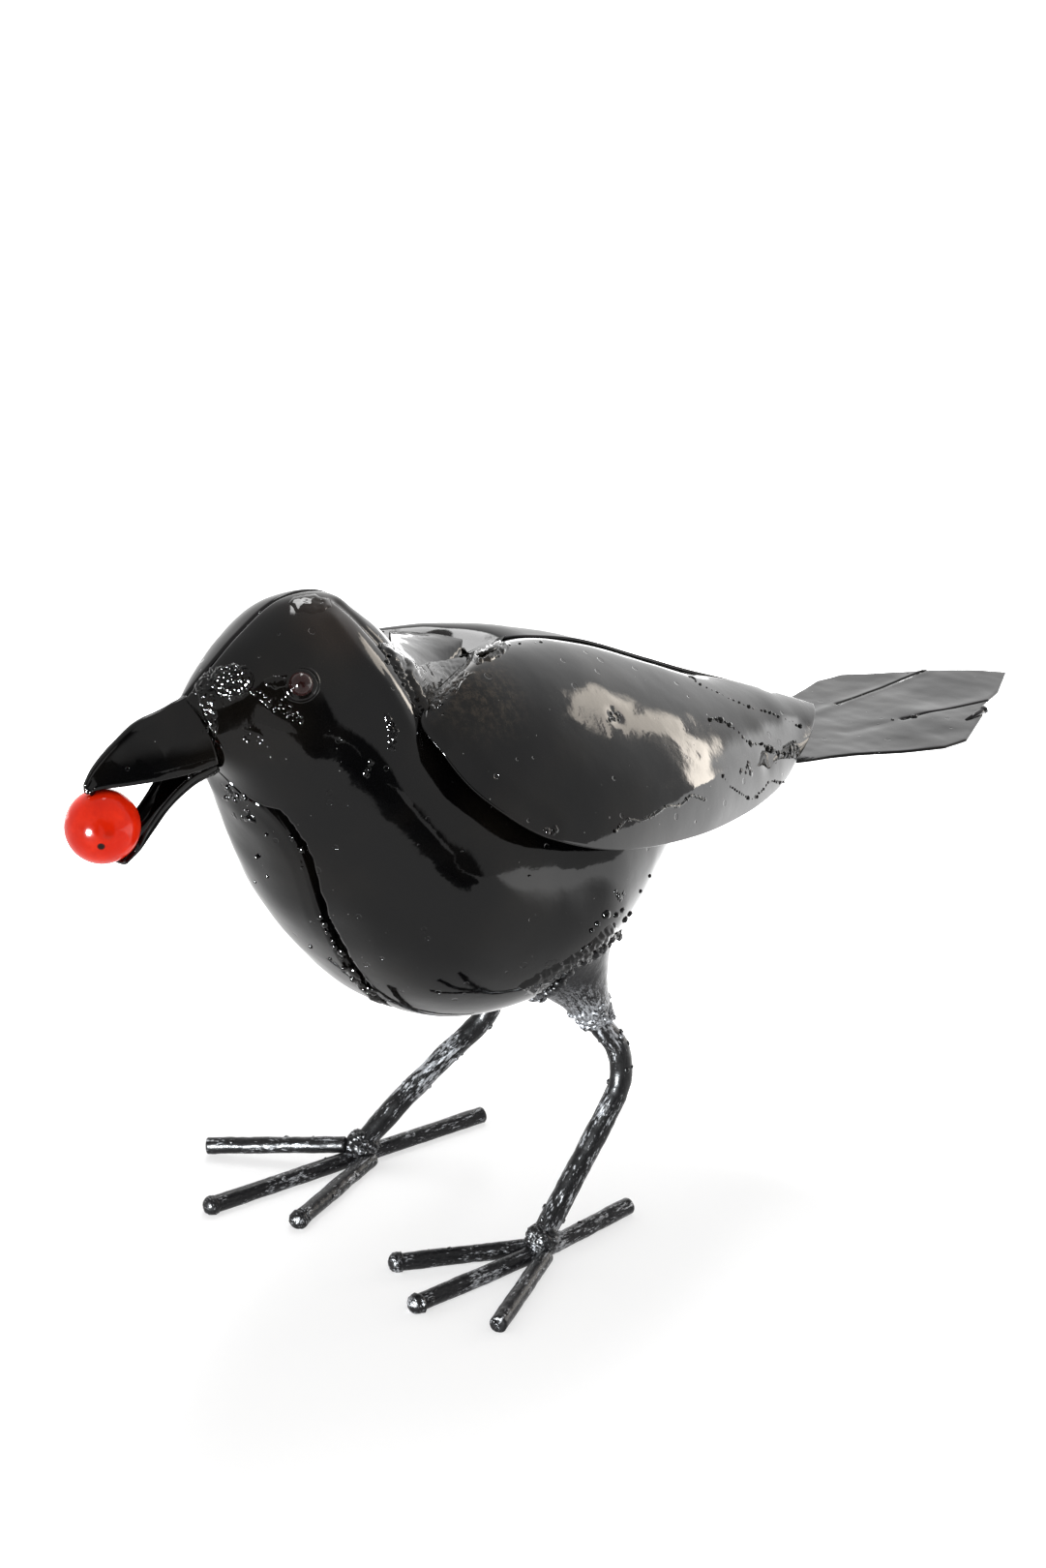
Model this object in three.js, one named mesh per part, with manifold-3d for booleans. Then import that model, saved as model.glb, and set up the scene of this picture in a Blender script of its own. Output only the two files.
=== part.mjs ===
// A crow welded from sheet steel and rod, holding a red berry in its beak.
// Millimetres, +Z up. The bird faces -Y, so its own left side is +X.
// It is drawn around its centre seam at x = 0 and centred over its box at the end.
import * as THREE from 'three';
import { mergeVertices } from 'three/addons/utils/BufferGeometryUtils.js';
import Module from 'manifold-3d';

const wasm = await Module();
wasm.setup();

// Driving dimensions
const GAP = 0.3;
const WELD_TOLERANCE = 1e-4;
const NORMAL_STEP = 1e-3;
const SHEET = 1.2;
const LEG_RADIUS = 4.0;
const TOE_RADIUS = 3.0;
const TOE_FLAT_DEPTH = 0.4;
const BERRY_RADIUS = 11.6;
const BERRY_SEGMENTS = 20;
const BERRY_RINGS = 14;
const EYE_RADIUS = 3.7;
const EYE_SEGMENTS = 12;
const EYE_RINGS = 8;

// Each body station is a slice through the body: its top and bottom middle points as [y, z],
// its half width, how far down the widest place sits (0 to 1), how far the breast seam wanders
// to the left of the middle, and half the opening of the seam at the nape.
const BODY_STATIONS = [
  { top: [-170, 208.5], bottom: [-161.5, 185.5], half: 12, widest: 0.6 },
  { top: [-161.5, 215.5], bottom: [-156.5, 178.5], half: 17.5, widest: 0.54, wander: 4 },
  { top: [-149, 225], bottom: [-153.5, 168], half: 23.5, widest: 0.52, wander: 14.5 },
  { top: [-134, 233], bottom: [-149.5, 157], half: 29.5, widest: 0.53, wander: 19.5 },
  { top: [-117, 232.5], bottom: [-144.5, 144], half: 34.5, widest: 0.54, wander: 21.5, slit: 0.8 },
  { top: [-104, 223.5], bottom: [-135.5, 127], half: 42, widest: 0.55, wander: 19, slit: 1.3 },
  { top: [-90, 209], bottom: [-121.5, 108], half: 50, widest: 0.56, wander: 15, slit: 1.3 },
  { top: [-75, 201], bottom: [-106, 92], half: 56.5, widest: 0.57, wander: 10 },
  { top: [-52, 197], bottom: [-85, 82], half: 59, widest: 0.58, wander: 4 },
  { top: [-28, 195], bottom: [-61, 81], half: 59, widest: 0.58 },
  { top: [-5, 187], bottom: [-42.5, 87], half: 53.3, widest: 0.57 },
  { top: [14, 177], bottom: [-28, 98.2], half: 44.5, widest: 0.55 },
  { top: [30, 170], bottom: [-17, 113], half: 36, widest: 0.53 },
  { top: [44, 163], bottom: [-6, 126], half: 28, widest: 0.5 },
  { top: [56, 157], bottom: [22, 136], half: 23, widest: 0.5 },
  { top: [67, 152], bottom: [55, 140], half: 18, widest: 0.5 },
  { top: [70, 149], bottom: [68, 141], half: 15, widest: 0.5 },
];
const BODY_RINGS = 36;
const BODY_SIDES = 12;

// The wing sheets: the seam line they share on the back, their free edge, and the hump of each shoulder
const WING_SEAM = [
  [-60, 199], [-40, 201.5], [-12, 196], [20, 183], [50, 170], [78, 158.5], [102, 148],
];
const WING_EDGE = [
  [20, -80, 203], [32, -97, 201.5], [39, -106, 197.5], [46, -106, 189], [52, -101, 179], [58, -93, 170],
  [62.5, -80, 160], [64, -60, 151], [61, -37, 144.5], [50, 2, 137], [35, 41, 133], [24, 66, 134.5],
  [18.6, 77, 138.8],
];
const WING_STEPS_ALONG = 24;
const WING_STEPS_ACROSS = 8;
const WING_ARC = THREE.MathUtils.degToRad(78);
const TRIM_ABOVE_WING = 25;
const HUMP_SPREAD = 0.28;
const WING_HUMPS = {
  left: { height: 6, at: 0.2 },
  right: { height: 6.5, at: 0.33 },
};

// The tail sheet: outline points as [x, y], its height, and the slits between its three lobes
const TAIL_HEIGHT = 136.9;
const TAIL_OUTLINE = [
  [18, 72], [27.5, 95], [37.2, 118], [41.8, 129], [41.5, 141], [26.8, 166], [19.5, 174],
  [12, 191], [-1, 210], [-12.5, 196], [-20.2, 186], [-28.2, 175.5], [-40.6, 159], [-41, 147],
  [-34, 127], [-27.5, 95], [-18, 72],
];
const TAIL_SLITS = [
  { from: [-17, 133], to: [-21, 195] },
  { from: [12, 138], to: [20, 200] },
];
const SLIT_WIDTH = 1.2;
const CUTTER_MARGIN = 1;

// Head fittings
const BERRY_CENTRE = [0, -201, 174.5];
const EYE_CENTRES = {
  left: [23.9, -143.2, 213.4],
  right: [-24, -140.5, 210.5],
};

// Rods, welds and thigh cones
const ROD_SIDES = 8;
const BALL_SEGMENTS = 10;
const BALL_RINGS = 8;
const LEG_STEPS = 16;
const LONG_TOE_STEPS = 6;
const TOE_BALL = 1.18;
const WELD_BALL = 1.45;
const WELD_HEIGHT = 6.5;
const THIGH_SIDES = 16;
const THIGH_PROFILE = [[0, 0], [5.6, 0], [6.6, 4], [9.3, 12], [14, 21], [20, 30], [24, 36], [0, 36]];
const BODY_CLEARANCE = 0.6;
const GROUND_BLOCK = [400, 600, 20];

// Legs: the rod's centreline on each side from foot to hip, and the toes of each foot
const LEGS = {
  left: {
    path: [[47.3, -66.6, 7.5], [45.6, -56.4, 18], [44.8, -38.4, 40], [44.8, -29.7, 54], [43.6, -30, 65],
      [39.5, -35.5, 76], [37, -39, 88]],
    middle: [[48.3, -122, 0], [46.5, -62, 0], [42, -23, 0]],
    inner: [[21.8, -110, 0], [43.5, -66.5, 0]],
    outer: [[75.6, -109, 0], [51, -68.5, 0]],
    hip: [36, -41.2, 90],
  },
  right: {
    path: [[-47.3, -70.7, 7.5], [-45, -57.5, 18.8], [-40, -36.5, 35.8], [-36, -24, 46.6], [-34, -21.5, 54],
      [-34, -26.5, 66], [-35.5, -34, 76], [-36.5, -39, 88]],
    middle: [[-50.8, -134.6, 0], [-48, -67, 0], [-45.6, -17, 0]],
    inner: [[-22.6, -117.4, 0], [-43.5, -70, 0]],
    outer: [[-87.5, -109.5, 1.2], [-50.5, -76, 5]],
    hip: [-35, -43, 90],
  },
};

const PAINT = { color: 0x151414, roughness: 0.12, metalness: 0.0 };
const BRUSHED_PAINT = { color: 0x55565a, roughness: 0.45, metalness: 0.4 };
const BERRY_PAINT = { color: 0xd8200e, roughness: 0.12, metalness: 0.0 };
const EYE_PAINT = { color: 0x2c0f0c, roughness: 0.08, metalness: 0.0 };

// Splines through named stations
function splineOf(rows) {
  const points = rows.map(([x, y, z]) => new THREE.Vector3(x, y, z));
  return new THREE.CatmullRomCurve3(points, false, 'centripetal');
}

// A closed solid from loops of points: walls between neighbours, and a lid on each end
function solidFromLoops(loops, lid) {
  const size = loops[0].length;
  const positions = loops.flat().flatMap((point) => [point.x, point.y, point.z]);
  const index = [];
  for (let i = 0; i + 1 < loops.length; i += 1) {
    for (let j = 0; j < size; j += 1) {
      const next = (j + 1) % size;
      const [a, b] = [i * size + j, i * size + next];
      const [c, d] = [a + size, b + size];
      index.push(a, b, d, a, d, c);
    }
  }
  for (const [loop, facing] of [[0, 1], [loops.length - 1, -1]]) {
    for (const [a, b, c] of lid(size)) {
      const corners = [a, b, c].map((corner) => corner + loop * size);
      index.push(...(facing > 0 ? corners.reverse() : corners));
    }
  }
  const geometry = new THREE.BufferGeometry();
  geometry.setAttribute('position', new THREE.Float32BufferAttribute(positions, 3));
  geometry.setIndex(index);
  return facingOut(geometry);
}

// A lid that pairs the two long sides of a thin loop
function stripLid(size) {
  const triangles = [];
  for (let j = 0; j + 1 < size / 2; j += 1) {
    const far = size - 1 - j;
    triangles.push([j, j + 1, far - 1], [j, far - 1, far]);
  }
  return triangles;
}

// A lid that fans out from the first point of a rounded loop
function fanLid(size) {
  const triangles = [];
  for (let j = 1; j + 1 < size; j += 1) triangles.push([0, j, j + 1]);
  return triangles;
}

function facingOut(geometry) {
  const position = geometry.getAttribute('position');
  const index = geometry.getIndex();
  const corner = [new THREE.Vector3(), new THREE.Vector3(), new THREE.Vector3()];
  let volume = 0;
  for (let i = 0; i < index.count; i += 3) {
    corner.forEach((vector, k) => vector.fromBufferAttribute(position, index.getX(i + k)));
    volume += corner[0].dot(corner[1].clone().cross(corner[2]));
  }
  if (volume < 0) {
    for (let i = 0; i < index.count; i += 3) {
      const swap = index.getX(i + 1);
      index.setX(i + 1, index.getX(i + 2));
      index.setX(i + 2, swap);
    }
  }
  return geometry;
}

// Manifold solids, used only to join and cut
function toSolid(geometry) {
  const bare = geometry.clone();
  bare.deleteAttribute('normal');
  bare.deleteAttribute('uv');
  const merged = mergeVertices(bare, WELD_TOLERANCE);
  return new wasm.Manifold(new wasm.Mesh({
    numProp: 3,
    vertProperties: new Float32Array(merged.getAttribute('position').array),
    triVerts: new Uint32Array(merged.getIndex().array),
  }));
}

function toGeometry(solid) {
  const mesh = solid.getMesh();
  const geometry = new THREE.BufferGeometry();
  geometry.setAttribute('position', new THREE.Float32BufferAttribute(mesh.vertProperties, 3));
  geometry.setIndex(Array.from(mesh.triVerts));
  return geometry;
}

// The body: half rings swept through the stations, closed by a flat face along the centre seam
function bodyLoop(t, side, grow) {
  const along = t * (BODY_STATIONS.length - 1);
  const value = (read) => sampleStations(read, along);
  const top = new THREE.Vector3(0, value((s) => s.top[0]), value((s) => s.top[1]));
  const bottom = new THREE.Vector3(0, value((s) => s.bottom[0]), value((s) => s.bottom[1]));
  const half = value((s) => s.half) + grow;
  const lower = Math.log(value((s) => s.widest)) / Math.log(0.5);
  const slit = value((s) => s.slit ?? 0);
  const seamAngle = Math.PI - side * Math.asin(value((s) => s.wander ?? 0) / half);
  const spread = bottom.clone().sub(top).normalize().multiplyScalar(grow);
  top.sub(spread);
  bottom.add(spread);
  const loop = [];
  for (let j = 0; j <= BODY_SIDES; j += 1) {
    const angle = seamAngle * j / BODY_SIDES;
    const down = ((1 - Math.cos(angle)) / 2) ** lower;
    const point = top.clone().lerp(bottom, down);
    const edge = GAP / 2 + slit * Math.max(0, 1 - down * 3);
    point.x = side * (half * Math.sin(angle) + edge);
    loop.push(point);
  }
  return loop;
}

// A smooth value between stations, by a Catmull-Rom cubic
function sampleStations(read, along) {
  const last = BODY_STATIONS.length - 1;
  const i = Math.min(Math.floor(along), last - 1);
  const [before, from, to, after] = [i - 1, i, i + 1, i + 2].map(
    (k) => read(BODY_STATIONS[Math.min(Math.max(k, 0), last)]),
  );
  const f = along - i;
  const [slopeFrom, slopeTo] = [(to - before) / 2, (after - from) / 2];
  return from + slopeFrom * f + (3 * (to - from) - 2 * slopeFrom - slopeTo) * f * f
    + (2 * (from - to) + slopeFrom + slopeTo) * f * f * f;
}

function bodyHalf(side, grow = 0) {
  const loops = [];
  for (let i = 0; i <= BODY_RINGS; i += 1) loops.push(bodyLoop(i / BODY_RINGS, side, grow));
  return solidFromLoops(loops, fanLid);
}

// A sheet of constant thickness around a surface given by point(u, v)
function sheet(point, stepsU, stepsV, side = 1, inner = -SHEET / 2, outer = SHEET / 2) {
  const normalAt = (u, v) => {
    const step = NORMAL_STEP;
    const [u0, u1] = [Math.max(u - step, 0), Math.min(u + step, 1)];
    const [v0, v1] = [Math.max(v - step, 0), Math.min(v + step, 1)];
    const alongU = point(u1, v).sub(point(u0, v));
    const alongV = point(u, v1).sub(point(u, v0));
    return alongU.cross(alongV).normalize().multiplyScalar(side);
  };
  const loops = [];
  for (let i = 0; i <= stepsU; i += 1) {
    const u = i / stepsU;
    const over = [];
    const under = [];
    for (let j = 0; j <= stepsV; j += 1) {
      const v = j / stepsV;
      const normal = normalAt(u, v);
      over.push(point(u, v).addScaledVector(normal, outer));
      under.unshift(point(u, v).addScaledVector(normal, inner));
    }
    loops.push([...over, ...under]);
  }
  return solidFromLoops(loops, stripLid);
}

// A wing: an arched sheet from the seam on the back out to its free edge
const wingSeam = splineOf(WING_SEAM.map(([y, z]) => [0, y, z]));
const wingEdge = splineOf(WING_EDGE);
function wingPoint(side) {
  const seamStart = SHEET / 2 + GAP;
  const hump = side > 0 ? WING_HUMPS.left : WING_HUMPS.right;
  return (u, v) => {
    const seam = wingSeam.getPoint(u);
    const edge = wingEdge.getPoint(u);
    const angle = WING_ARC * v;
    const out = Math.sin(angle) / Math.sin(WING_ARC);
    const fall = (1 - Math.cos(angle)) / (1 - Math.cos(WING_ARC));
    const rise = hump.height * Math.exp(-(((u - hump.at) / HUMP_SPREAD) ** 2)) * Math.sin(Math.PI * v);
    return new THREE.Vector3(
      side * THREE.MathUtils.lerp(seamStart, edge.x, out),
      THREE.MathUtils.lerp(seam.y, edge.y, (out + fall) / 2),
      THREE.MathUtils.lerp(seam.z, edge.z, fall) + rise,
    );
  };
}

function wing(side) {
  return sheet(wingPoint(side), WING_STEPS_ALONG, WING_STEPS_ACROSS, side);
}

// The space a wing sheet takes up, with everything above it, to trim the body under it
function wingClearance(side) {
  return sheet(wingPoint(side), WING_STEPS_ALONG, WING_STEPS_ACROSS, side, -SHEET / 2 - GAP, TRIM_ABOVE_WING);
}

// The tail: a flat sheet cut to its outline and slit into three lobes
function extruded(points, bottom, depth) {
  const shape = new THREE.Shape(points.map(([x, y]) => new THREE.Vector2(x, y)));
  const geometry = new THREE.ExtrudeGeometry(shape, { depth, bevelEnabled: false, steps: 1 });
  return geometry.translate(0, 0, bottom);
}

function slitOutline({ from, to }) {
  const half = SLIT_WIDTH / 2;
  return [[from[0] - half, from[1]], [from[0] + half, from[1]], [to[0] + half, to[1]], [to[0] - half, to[1]]];
}

function tail() {
  const bottom = TAIL_HEIGHT - SHEET / 2;
  let solid = toSolid(extruded(TAIL_OUTLINE, bottom, SHEET));
  for (const slit of TAIL_SLITS) {
    const cutter = extruded(slitOutline(slit), bottom - CUTTER_MARGIN, SHEET + 2 * CUTTER_MARGIN);
    solid = solid.subtract(toSolid(cutter));
  }
  return toGeometry(solid);
}

// The beak: a folded channel above, and a narrow trough that holds the berry below
const BEAK_STEPS_ALONG = 10;
const BEAK_STEPS_ACROSS = 8;
const UPPER_RIDGE = splineOf([
  [0, -170, 208.5], [0, -178, 206], [0, -188, 203.5], [0, -196.4, 198.4], [0, -203.4, 192.2],
  [0, -206.5, 187.6],
]);
const UPPER_RIM = splineOf([
  [13, -168.5, 190], [11, -176, 188.4], [8.5, -185, 187.6], [5.5, -194, 187.2], [2.4, -202, 187],
  [0.8, -206, 186.3],
]);
function upperBeakPoint(u, v) {
  const ridge = UPPER_RIDGE.getPoint(u);
  const rim = UPPER_RIM.getPoint(u);
  const across = 2 * v - 1;
  const lean = Math.abs(across);
  const point = ridge.clone().lerp(rim, lean);
  point.x = rim.x * Math.sin(across * Math.PI / 2);
  return point;
}

const LOWER_KEEL = splineOf([
  [0, -162, 183.5], [0, -168, 181.5], [0, -173, 179], [0, -178.5, 175.1], [0, -184.5, 169.5],
  [0, -191, 164.8], [0, -197.5, 162.2],
]);
const LOWER_RIM = splineOf([
  [8.3, -166, 187.8], [7.2, -172, 186.2], [6, -177, 183], [4.9, -183, 177.6], [5.1, -188.5, 172],
  [6.4, -193, 167.3], [6.6, -197.5, 164],
]);
function lowerBeakPoint(u, v) {
  const angle = (2 * v - 1) * Math.PI / 2;
  const rim = LOWER_RIM.getPoint(u);
  const point = LOWER_KEEL.getPoint(u).lerp(rim, 1 - Math.cos(angle));
  point.x = rim.x * Math.sin(angle);
  return point;
}

function berry() {
  return new THREE.SphereGeometry(BERRY_RADIUS, BERRY_SEGMENTS, BERRY_RINGS)
    .rotateX(Math.PI / 2)
    .translate(...BERRY_CENTRE);
}

function eye(label, grow = 0) {
  return new THREE.SphereGeometry(EYE_RADIUS + grow, EYE_SEGMENTS, EYE_RINGS)
    .translate(...EYE_CENTRES[label]);
}

// A round bar along a path
function bar(points, radius, sides, steps) {
  const section = new THREE.Shape();
  section.absarc(0, 0, radius, 0, 2 * Math.PI);
  const path = points.length > 2 ? splineOf(points) : new THREE.LineCurve3(
    new THREE.Vector3(...points[0]), new THREE.Vector3(...points[1]),
  );
  const options = { steps, curveSegments: sides, extrudePath: path, bevelEnabled: false };
  return new THREE.ExtrudeGeometry(section, options);
}

function ball(centre, radius) {
  return new THREE.SphereGeometry(radius, BALL_SEGMENTS, BALL_RINGS)
    .rotateX(Math.PI / 2)
    .translate(...centre);
}

// Toes lie on the ground: their bars are sunk a little and cut flat at z = 0
const BELOW_GROUND = toSolid(new THREE.BoxGeometry(...GROUND_BLOCK).translate(0, 0, -GROUND_BLOCK[2] / 2));
function toe(points, endBall, grow = 0) {
  const lift = TOE_RADIUS - TOE_FLAT_DEPTH;
  const centreline = points.map(([x, y, rise]) => [x, y, lift + rise]);
  let solid = toSolid(bar(centreline, TOE_RADIUS + grow, ROD_SIDES, points.length > 2 ? LONG_TOE_STEPS : 1));
  if (endBall) solid = solid.add(toSolid(ball(centreline[0], TOE_RADIUS * TOE_BALL + grow)));
  return solid;
}

// A foot: one long bar for the middle and back toes, two side toes and the leg's weld over them
function foot({ path, middle, inner, outer }) {
  const weldCentre = [path[0][0], path[0][1], WELD_HEIGHT];
  const weld = (grow) => toSolid(ball(weldCentre, LEG_RADIUS * WELD_BALL + grow));
  const longSpace = toe(middle, false, GAP);
  const sideToe = (points, endBall) => toe(points, endBall)
    .subtract(longSpace).subtract(weld(GAP)).subtract(BELOW_GROUND);
  return {
    long: toe(middle, true).subtract(BELOW_GROUND),
    innerToe: sideToe(inner, true),
    outerToe: sideToe(outer, false),
    rod: toSolid(bar(path, LEG_RADIUS, ROD_SIDES, LEG_STEPS)).add(weld(0))
      .subtract(longSpace).subtract(BELOW_GROUND),
  };
}

// A thigh: a sheet cone that flares from the leg up to the belly, cut to fit both
function thigh({ path, hip }) {
  const cone = new THREE.LatheGeometry(THIGH_PROFILE.map(([r, h]) => new THREE.Vector2(r, h)), THIGH_SIDES)
    .rotateX(Math.PI / 2);
  const low = new THREE.Vector3(...path[path.length - 2]);
  const axis = new THREE.Vector3(...hip).sub(low).normalize();
  cone.applyQuaternion(new THREE.Quaternion().setFromUnitVectors(new THREE.Vector3(0, 0, 1), axis));
  let solid = toSolid(cone.translate(low.x, low.y, low.z));
  solid = solid.subtract(toSolid(bar(path, LEG_RADIUS + GAP, ROD_SIDES, LEG_STEPS)));
  for (const side of [1, -1]) solid = solid.subtract(toSolid(bodyHalf(side, BODY_CLEARANCE)));
  return largestPart(solid);
}

// The largest of the bodies that a cut leaves
function largestPart(solid) {
  return solid.decompose().reduce((best, part) => (part.volume() > best.volume() ? part : best));
}

const pieces = [];
function addPiece(name, geometry, paint) {
  pieces.push({ name, geometry, paint });
}

for (const [label, side] of [['left', 1], ['right', -1]]) {
  const shell = toSolid(bodyHalf(side))
    .subtract(toSolid(wingClearance(side)))
    .subtract(toSolid(eye(label, GAP)));
  addPiece(`body_${label}`, toGeometry(largestPart(shell)), PAINT);
  addPiece(`wing_${label}`, wing(side), PAINT);
  addPiece(`eye_${label}`, eye(label), EYE_PAINT);
  const { long, innerToe, outerToe, rod } = foot(LEGS[label]);
  addPiece(`long_toe_${label}`, toGeometry(long), BRUSHED_PAINT);
  addPiece(`inner_toe_${label}`, toGeometry(innerToe), BRUSHED_PAINT);
  addPiece(`outer_toe_${label}`, toGeometry(outerToe), BRUSHED_PAINT);
  addPiece(`leg_${label}`, toGeometry(rod), BRUSHED_PAINT);
  addPiece(`thigh_${label}`, toGeometry(thigh(LEGS[label])), BRUSHED_PAINT);
}
addPiece('tail', tail(), PAINT);
addPiece('upper_beak', sheet(upperBeakPoint, BEAK_STEPS_ALONG, BEAK_STEPS_ACROSS), PAINT);
addPiece('lower_beak', sheet(lowerBeakPoint, BEAK_STEPS_ALONG, BEAK_STEPS_ACROSS), PAINT);
addPiece('berry', berry(), BERRY_PAINT);

// The origin goes under the middle of the whole bird, on the ground
const box = new THREE.Box3();
for (const { geometry } of pieces) {
  geometry.computeBoundingBox();
  box.union(geometry.boundingBox);
}
const middle = box.getCenter(new THREE.Vector3());
const crow = new THREE.Group();
for (const { name, geometry, paint } of pieces) {
  const mesh = new THREE.Mesh(geometry, new THREE.MeshStandardMaterial(paint));
  mesh.name = name;
  mesh.position.set(-middle.x, -middle.y, -box.min.z);
  crow.add(mesh);
}
export default crow;
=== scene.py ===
import math

import bmesh
import bpy
import numpy as np
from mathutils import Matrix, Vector
from mathutils.bvhtree import BVHTree


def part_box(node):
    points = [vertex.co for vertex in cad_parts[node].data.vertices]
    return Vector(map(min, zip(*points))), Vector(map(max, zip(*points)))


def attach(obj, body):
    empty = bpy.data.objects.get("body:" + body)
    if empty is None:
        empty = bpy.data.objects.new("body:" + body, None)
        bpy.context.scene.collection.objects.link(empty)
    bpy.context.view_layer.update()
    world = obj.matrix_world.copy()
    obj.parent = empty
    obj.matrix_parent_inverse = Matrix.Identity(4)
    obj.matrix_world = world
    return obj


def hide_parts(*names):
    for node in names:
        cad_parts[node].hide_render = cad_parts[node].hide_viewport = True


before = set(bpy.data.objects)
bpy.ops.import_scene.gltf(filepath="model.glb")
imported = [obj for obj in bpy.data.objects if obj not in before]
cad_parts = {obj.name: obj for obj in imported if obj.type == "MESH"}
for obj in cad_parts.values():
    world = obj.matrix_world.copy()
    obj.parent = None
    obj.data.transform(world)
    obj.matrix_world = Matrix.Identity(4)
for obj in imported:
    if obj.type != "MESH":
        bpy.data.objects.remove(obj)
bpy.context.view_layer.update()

MM = 0.001
GAP = 0.3
SHEET = 1.2
SIDES = {"left": 1, "right": -1}
BERRY_CENTRE = (0, -201, 174.5)
BERRY_RADIUS = 11.6
EYE_CENTRES = {"left": (23.9, -143.2, 213.4), "right": (-24, -140.5, 210.5)}
EYE_RADIUS = 3.7
EYE_RING_RADIUS = 5.4

# The body's stations: top and bottom middle points as y, z, then half width, the share of the way
# down to the widest place, how far the breast seam wanders to the left, and half the nape's opening
BODY_STATIONS = np.array([
    [-170, 208.5, -161.5, 185.5, 12, 0.6, 0, 0],
    [-161.5, 215.5, -156.5, 178.5, 17.5, 0.54, 4, 0],
    [-149, 225, -153.5, 168, 23.5, 0.52, 14.5, 0],
    [-134, 233, -149.5, 157, 29.5, 0.53, 19.5, 0],
    [-117, 232.5, -144.5, 144, 34.5, 0.54, 21.5, 0.8],
    [-104, 223.5, -135.5, 127, 42, 0.55, 19, 1.3],
    [-90, 209, -121.5, 108, 50, 0.56, 15, 1.3],
    [-75, 201, -106, 92, 56.5, 0.57, 10, 0],
    [-52, 197, -85, 82, 59, 0.58, 4, 0],
    [-28, 195, -61, 81, 59, 0.58, 0, 0],
    [-5, 187, -42.5, 87, 53.3, 0.57, 0, 0],
    [14, 177, -28, 98.2, 44.5, 0.55, 0, 0],
    [30, 170, -17, 113, 36, 0.53, 0, 0],
    [44, 163, -6, 126, 28, 0.5, 0, 0],
    [56, 157, 22, 136, 23, 0.5, 0, 0],
    [67, 152, 55, 140, 18, 0.5, 0, 0],
    [70, 149, 68, 141, 15, 0.5, 0, 0],
])
BODY_RINGS, BODY_COLUMNS = 230, 150
# How far back each shell's rim rounds off at the crown and at the breast
CROWN_TURN, BREAST_TURN = 1.2, 0.9
# The breast seam's open stretch, as shares of the body's length, and its width
SEAM_START, SEAM_END = 0.12, 0.47
SEAM_WIDTH = 3.8
# What lies in front of the wings or below them isn't tucked under their sheets
WINGS_FRONT, WINGS_FOOT = -112, 120
TUCK_DEPTH = 1.3
# Waves in a surface, as height, cell and what is added to the seed
BODY_WAVES = [(0.45, 48, 0), (0.17, 19, 20), (0.05, 8, 40)]
BODY_SEEDS = {"left": 31, "right": 32}

# The wing sheets: the seam on the back and the free edge, with the hump of each shoulder
WING_SEAM = [
    (0, -60, 199), (0, -40, 201.5), (0, -12, 196), (0, 20, 183), (0, 50, 170), (0, 78, 158.5),
    (0, 102, 148),
]
WING_EDGE = [
    (20, -80, 203), (32, -97, 201.5), (39, -106, 197.5), (46, -106, 189), (52, -101, 179),
    (58, -93, 170), (62.5, -80, 160), (64, -60, 151), (61, -37, 144.5), (50, 2, 137), (35, 41, 133),
    (24, 66, 134.5), (18.6, 77, 138.8),
]
WING_ARC = math.radians(78)
WING_HUMPS = {"left": (6, 0.2), "right": (6.5, 0.33)}
HUMP_SPREAD = 0.28
WING_LENGTH = 200
WING_ROWS, WING_COLUMNS = 230, 120
WING_SEEDS = {"left": 11, "right": 12}
WING_WAVES = {
    "left": [(0.25, 42, 0), (0.10, 16, 20), (0.03, 7, 40)],
    "right": [(0.1, 42, 0), (0.10, 16, 20), (0.03, 7, 40)],
}
# How far each sheet dips at the seam they share, and how wide a rim is pressed on the neck
WING_DIPS = {"left": 2.3, "right": 0.8}
PRESSED_RIMS = {"left": 6, "right": 2.5}

# The flat tail: its height, its two sides as x, y from root to tip, and the two slits
TAIL_HEIGHT = 136.9
TAIL_FAR_SIDE = [
    (-18, 72), (-27.5, 95), (-34, 127), (-41, 147), (-40.6, 159), (-28.2, 175.5), (-20.2, 186),
    (-12.5, 196), (-1, 210),
]
TAIL_NEAR_SIDE = [
    (18, 72), (27.5, 95), (37.2, 118), (41.8, 129), (41.5, 141), (26.8, 166), (19.5, 174), (12, 191),
    (-1, 210),
]
TAIL_START, TAIL_END = 72, 210
TAIL_SLITS = [((-17, 133), (-21, 195)), ((12, 138), (20, 200))]
SLIT_WIDTH = 1.2
TAIL_ROWS, STRIP_COLUMNS = 190, 34
TAIL_WAVES = [(0.95, 34, 0), (0.2, 13, 1), (0.07, 6, 2)]
# Lines pressed or raised in the tail, as x, y, z points, height and width
TAIL_LINES = [
    ([(8, 112, 0), (11, 128, 0), (13, 146, 0)], -0.2, 3.2),
    ([(-12, 104, 0), (-17, 133, 0), (-21, 190, 0)], 0.25, 2.5),
]

# The beak's sheets
UPPER_RIDGE = [
    (0, -170, 208.5), (0, -178, 206), (0, -188, 203.5), (0, -196.4, 198.4), (0, -203.4, 192.2),
    (0, -206.5, 187.6),
]
UPPER_RIM = [
    (13, -168.5, 190), (11, -176, 188.4), (8.5, -185, 187.6), (5.5, -194, 187.2), (2.4, -202, 187),
    (0.8, -206, 186.3),
]
LOWER_KEEL = [
    (0, -162, 183.5), (0, -168, 181.5), (0, -173, 179), (0, -178.5, 175.1), (0, -184.5, 169.5),
    (0, -191, 164.8), (0, -197.5, 162.2),
]
LOWER_RIM = [
    (8.3, -166, 187.8), (7.2, -172, 186.2), (6, -177, 183), (4.9, -183, 177.6), (5.1, -188.5, 172),
    (6.4, -193, 167.3), (6.6, -197.5, 164),
]
UPPER_GRID, LOWER_GRID = (110, 120), (90, 70)
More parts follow.
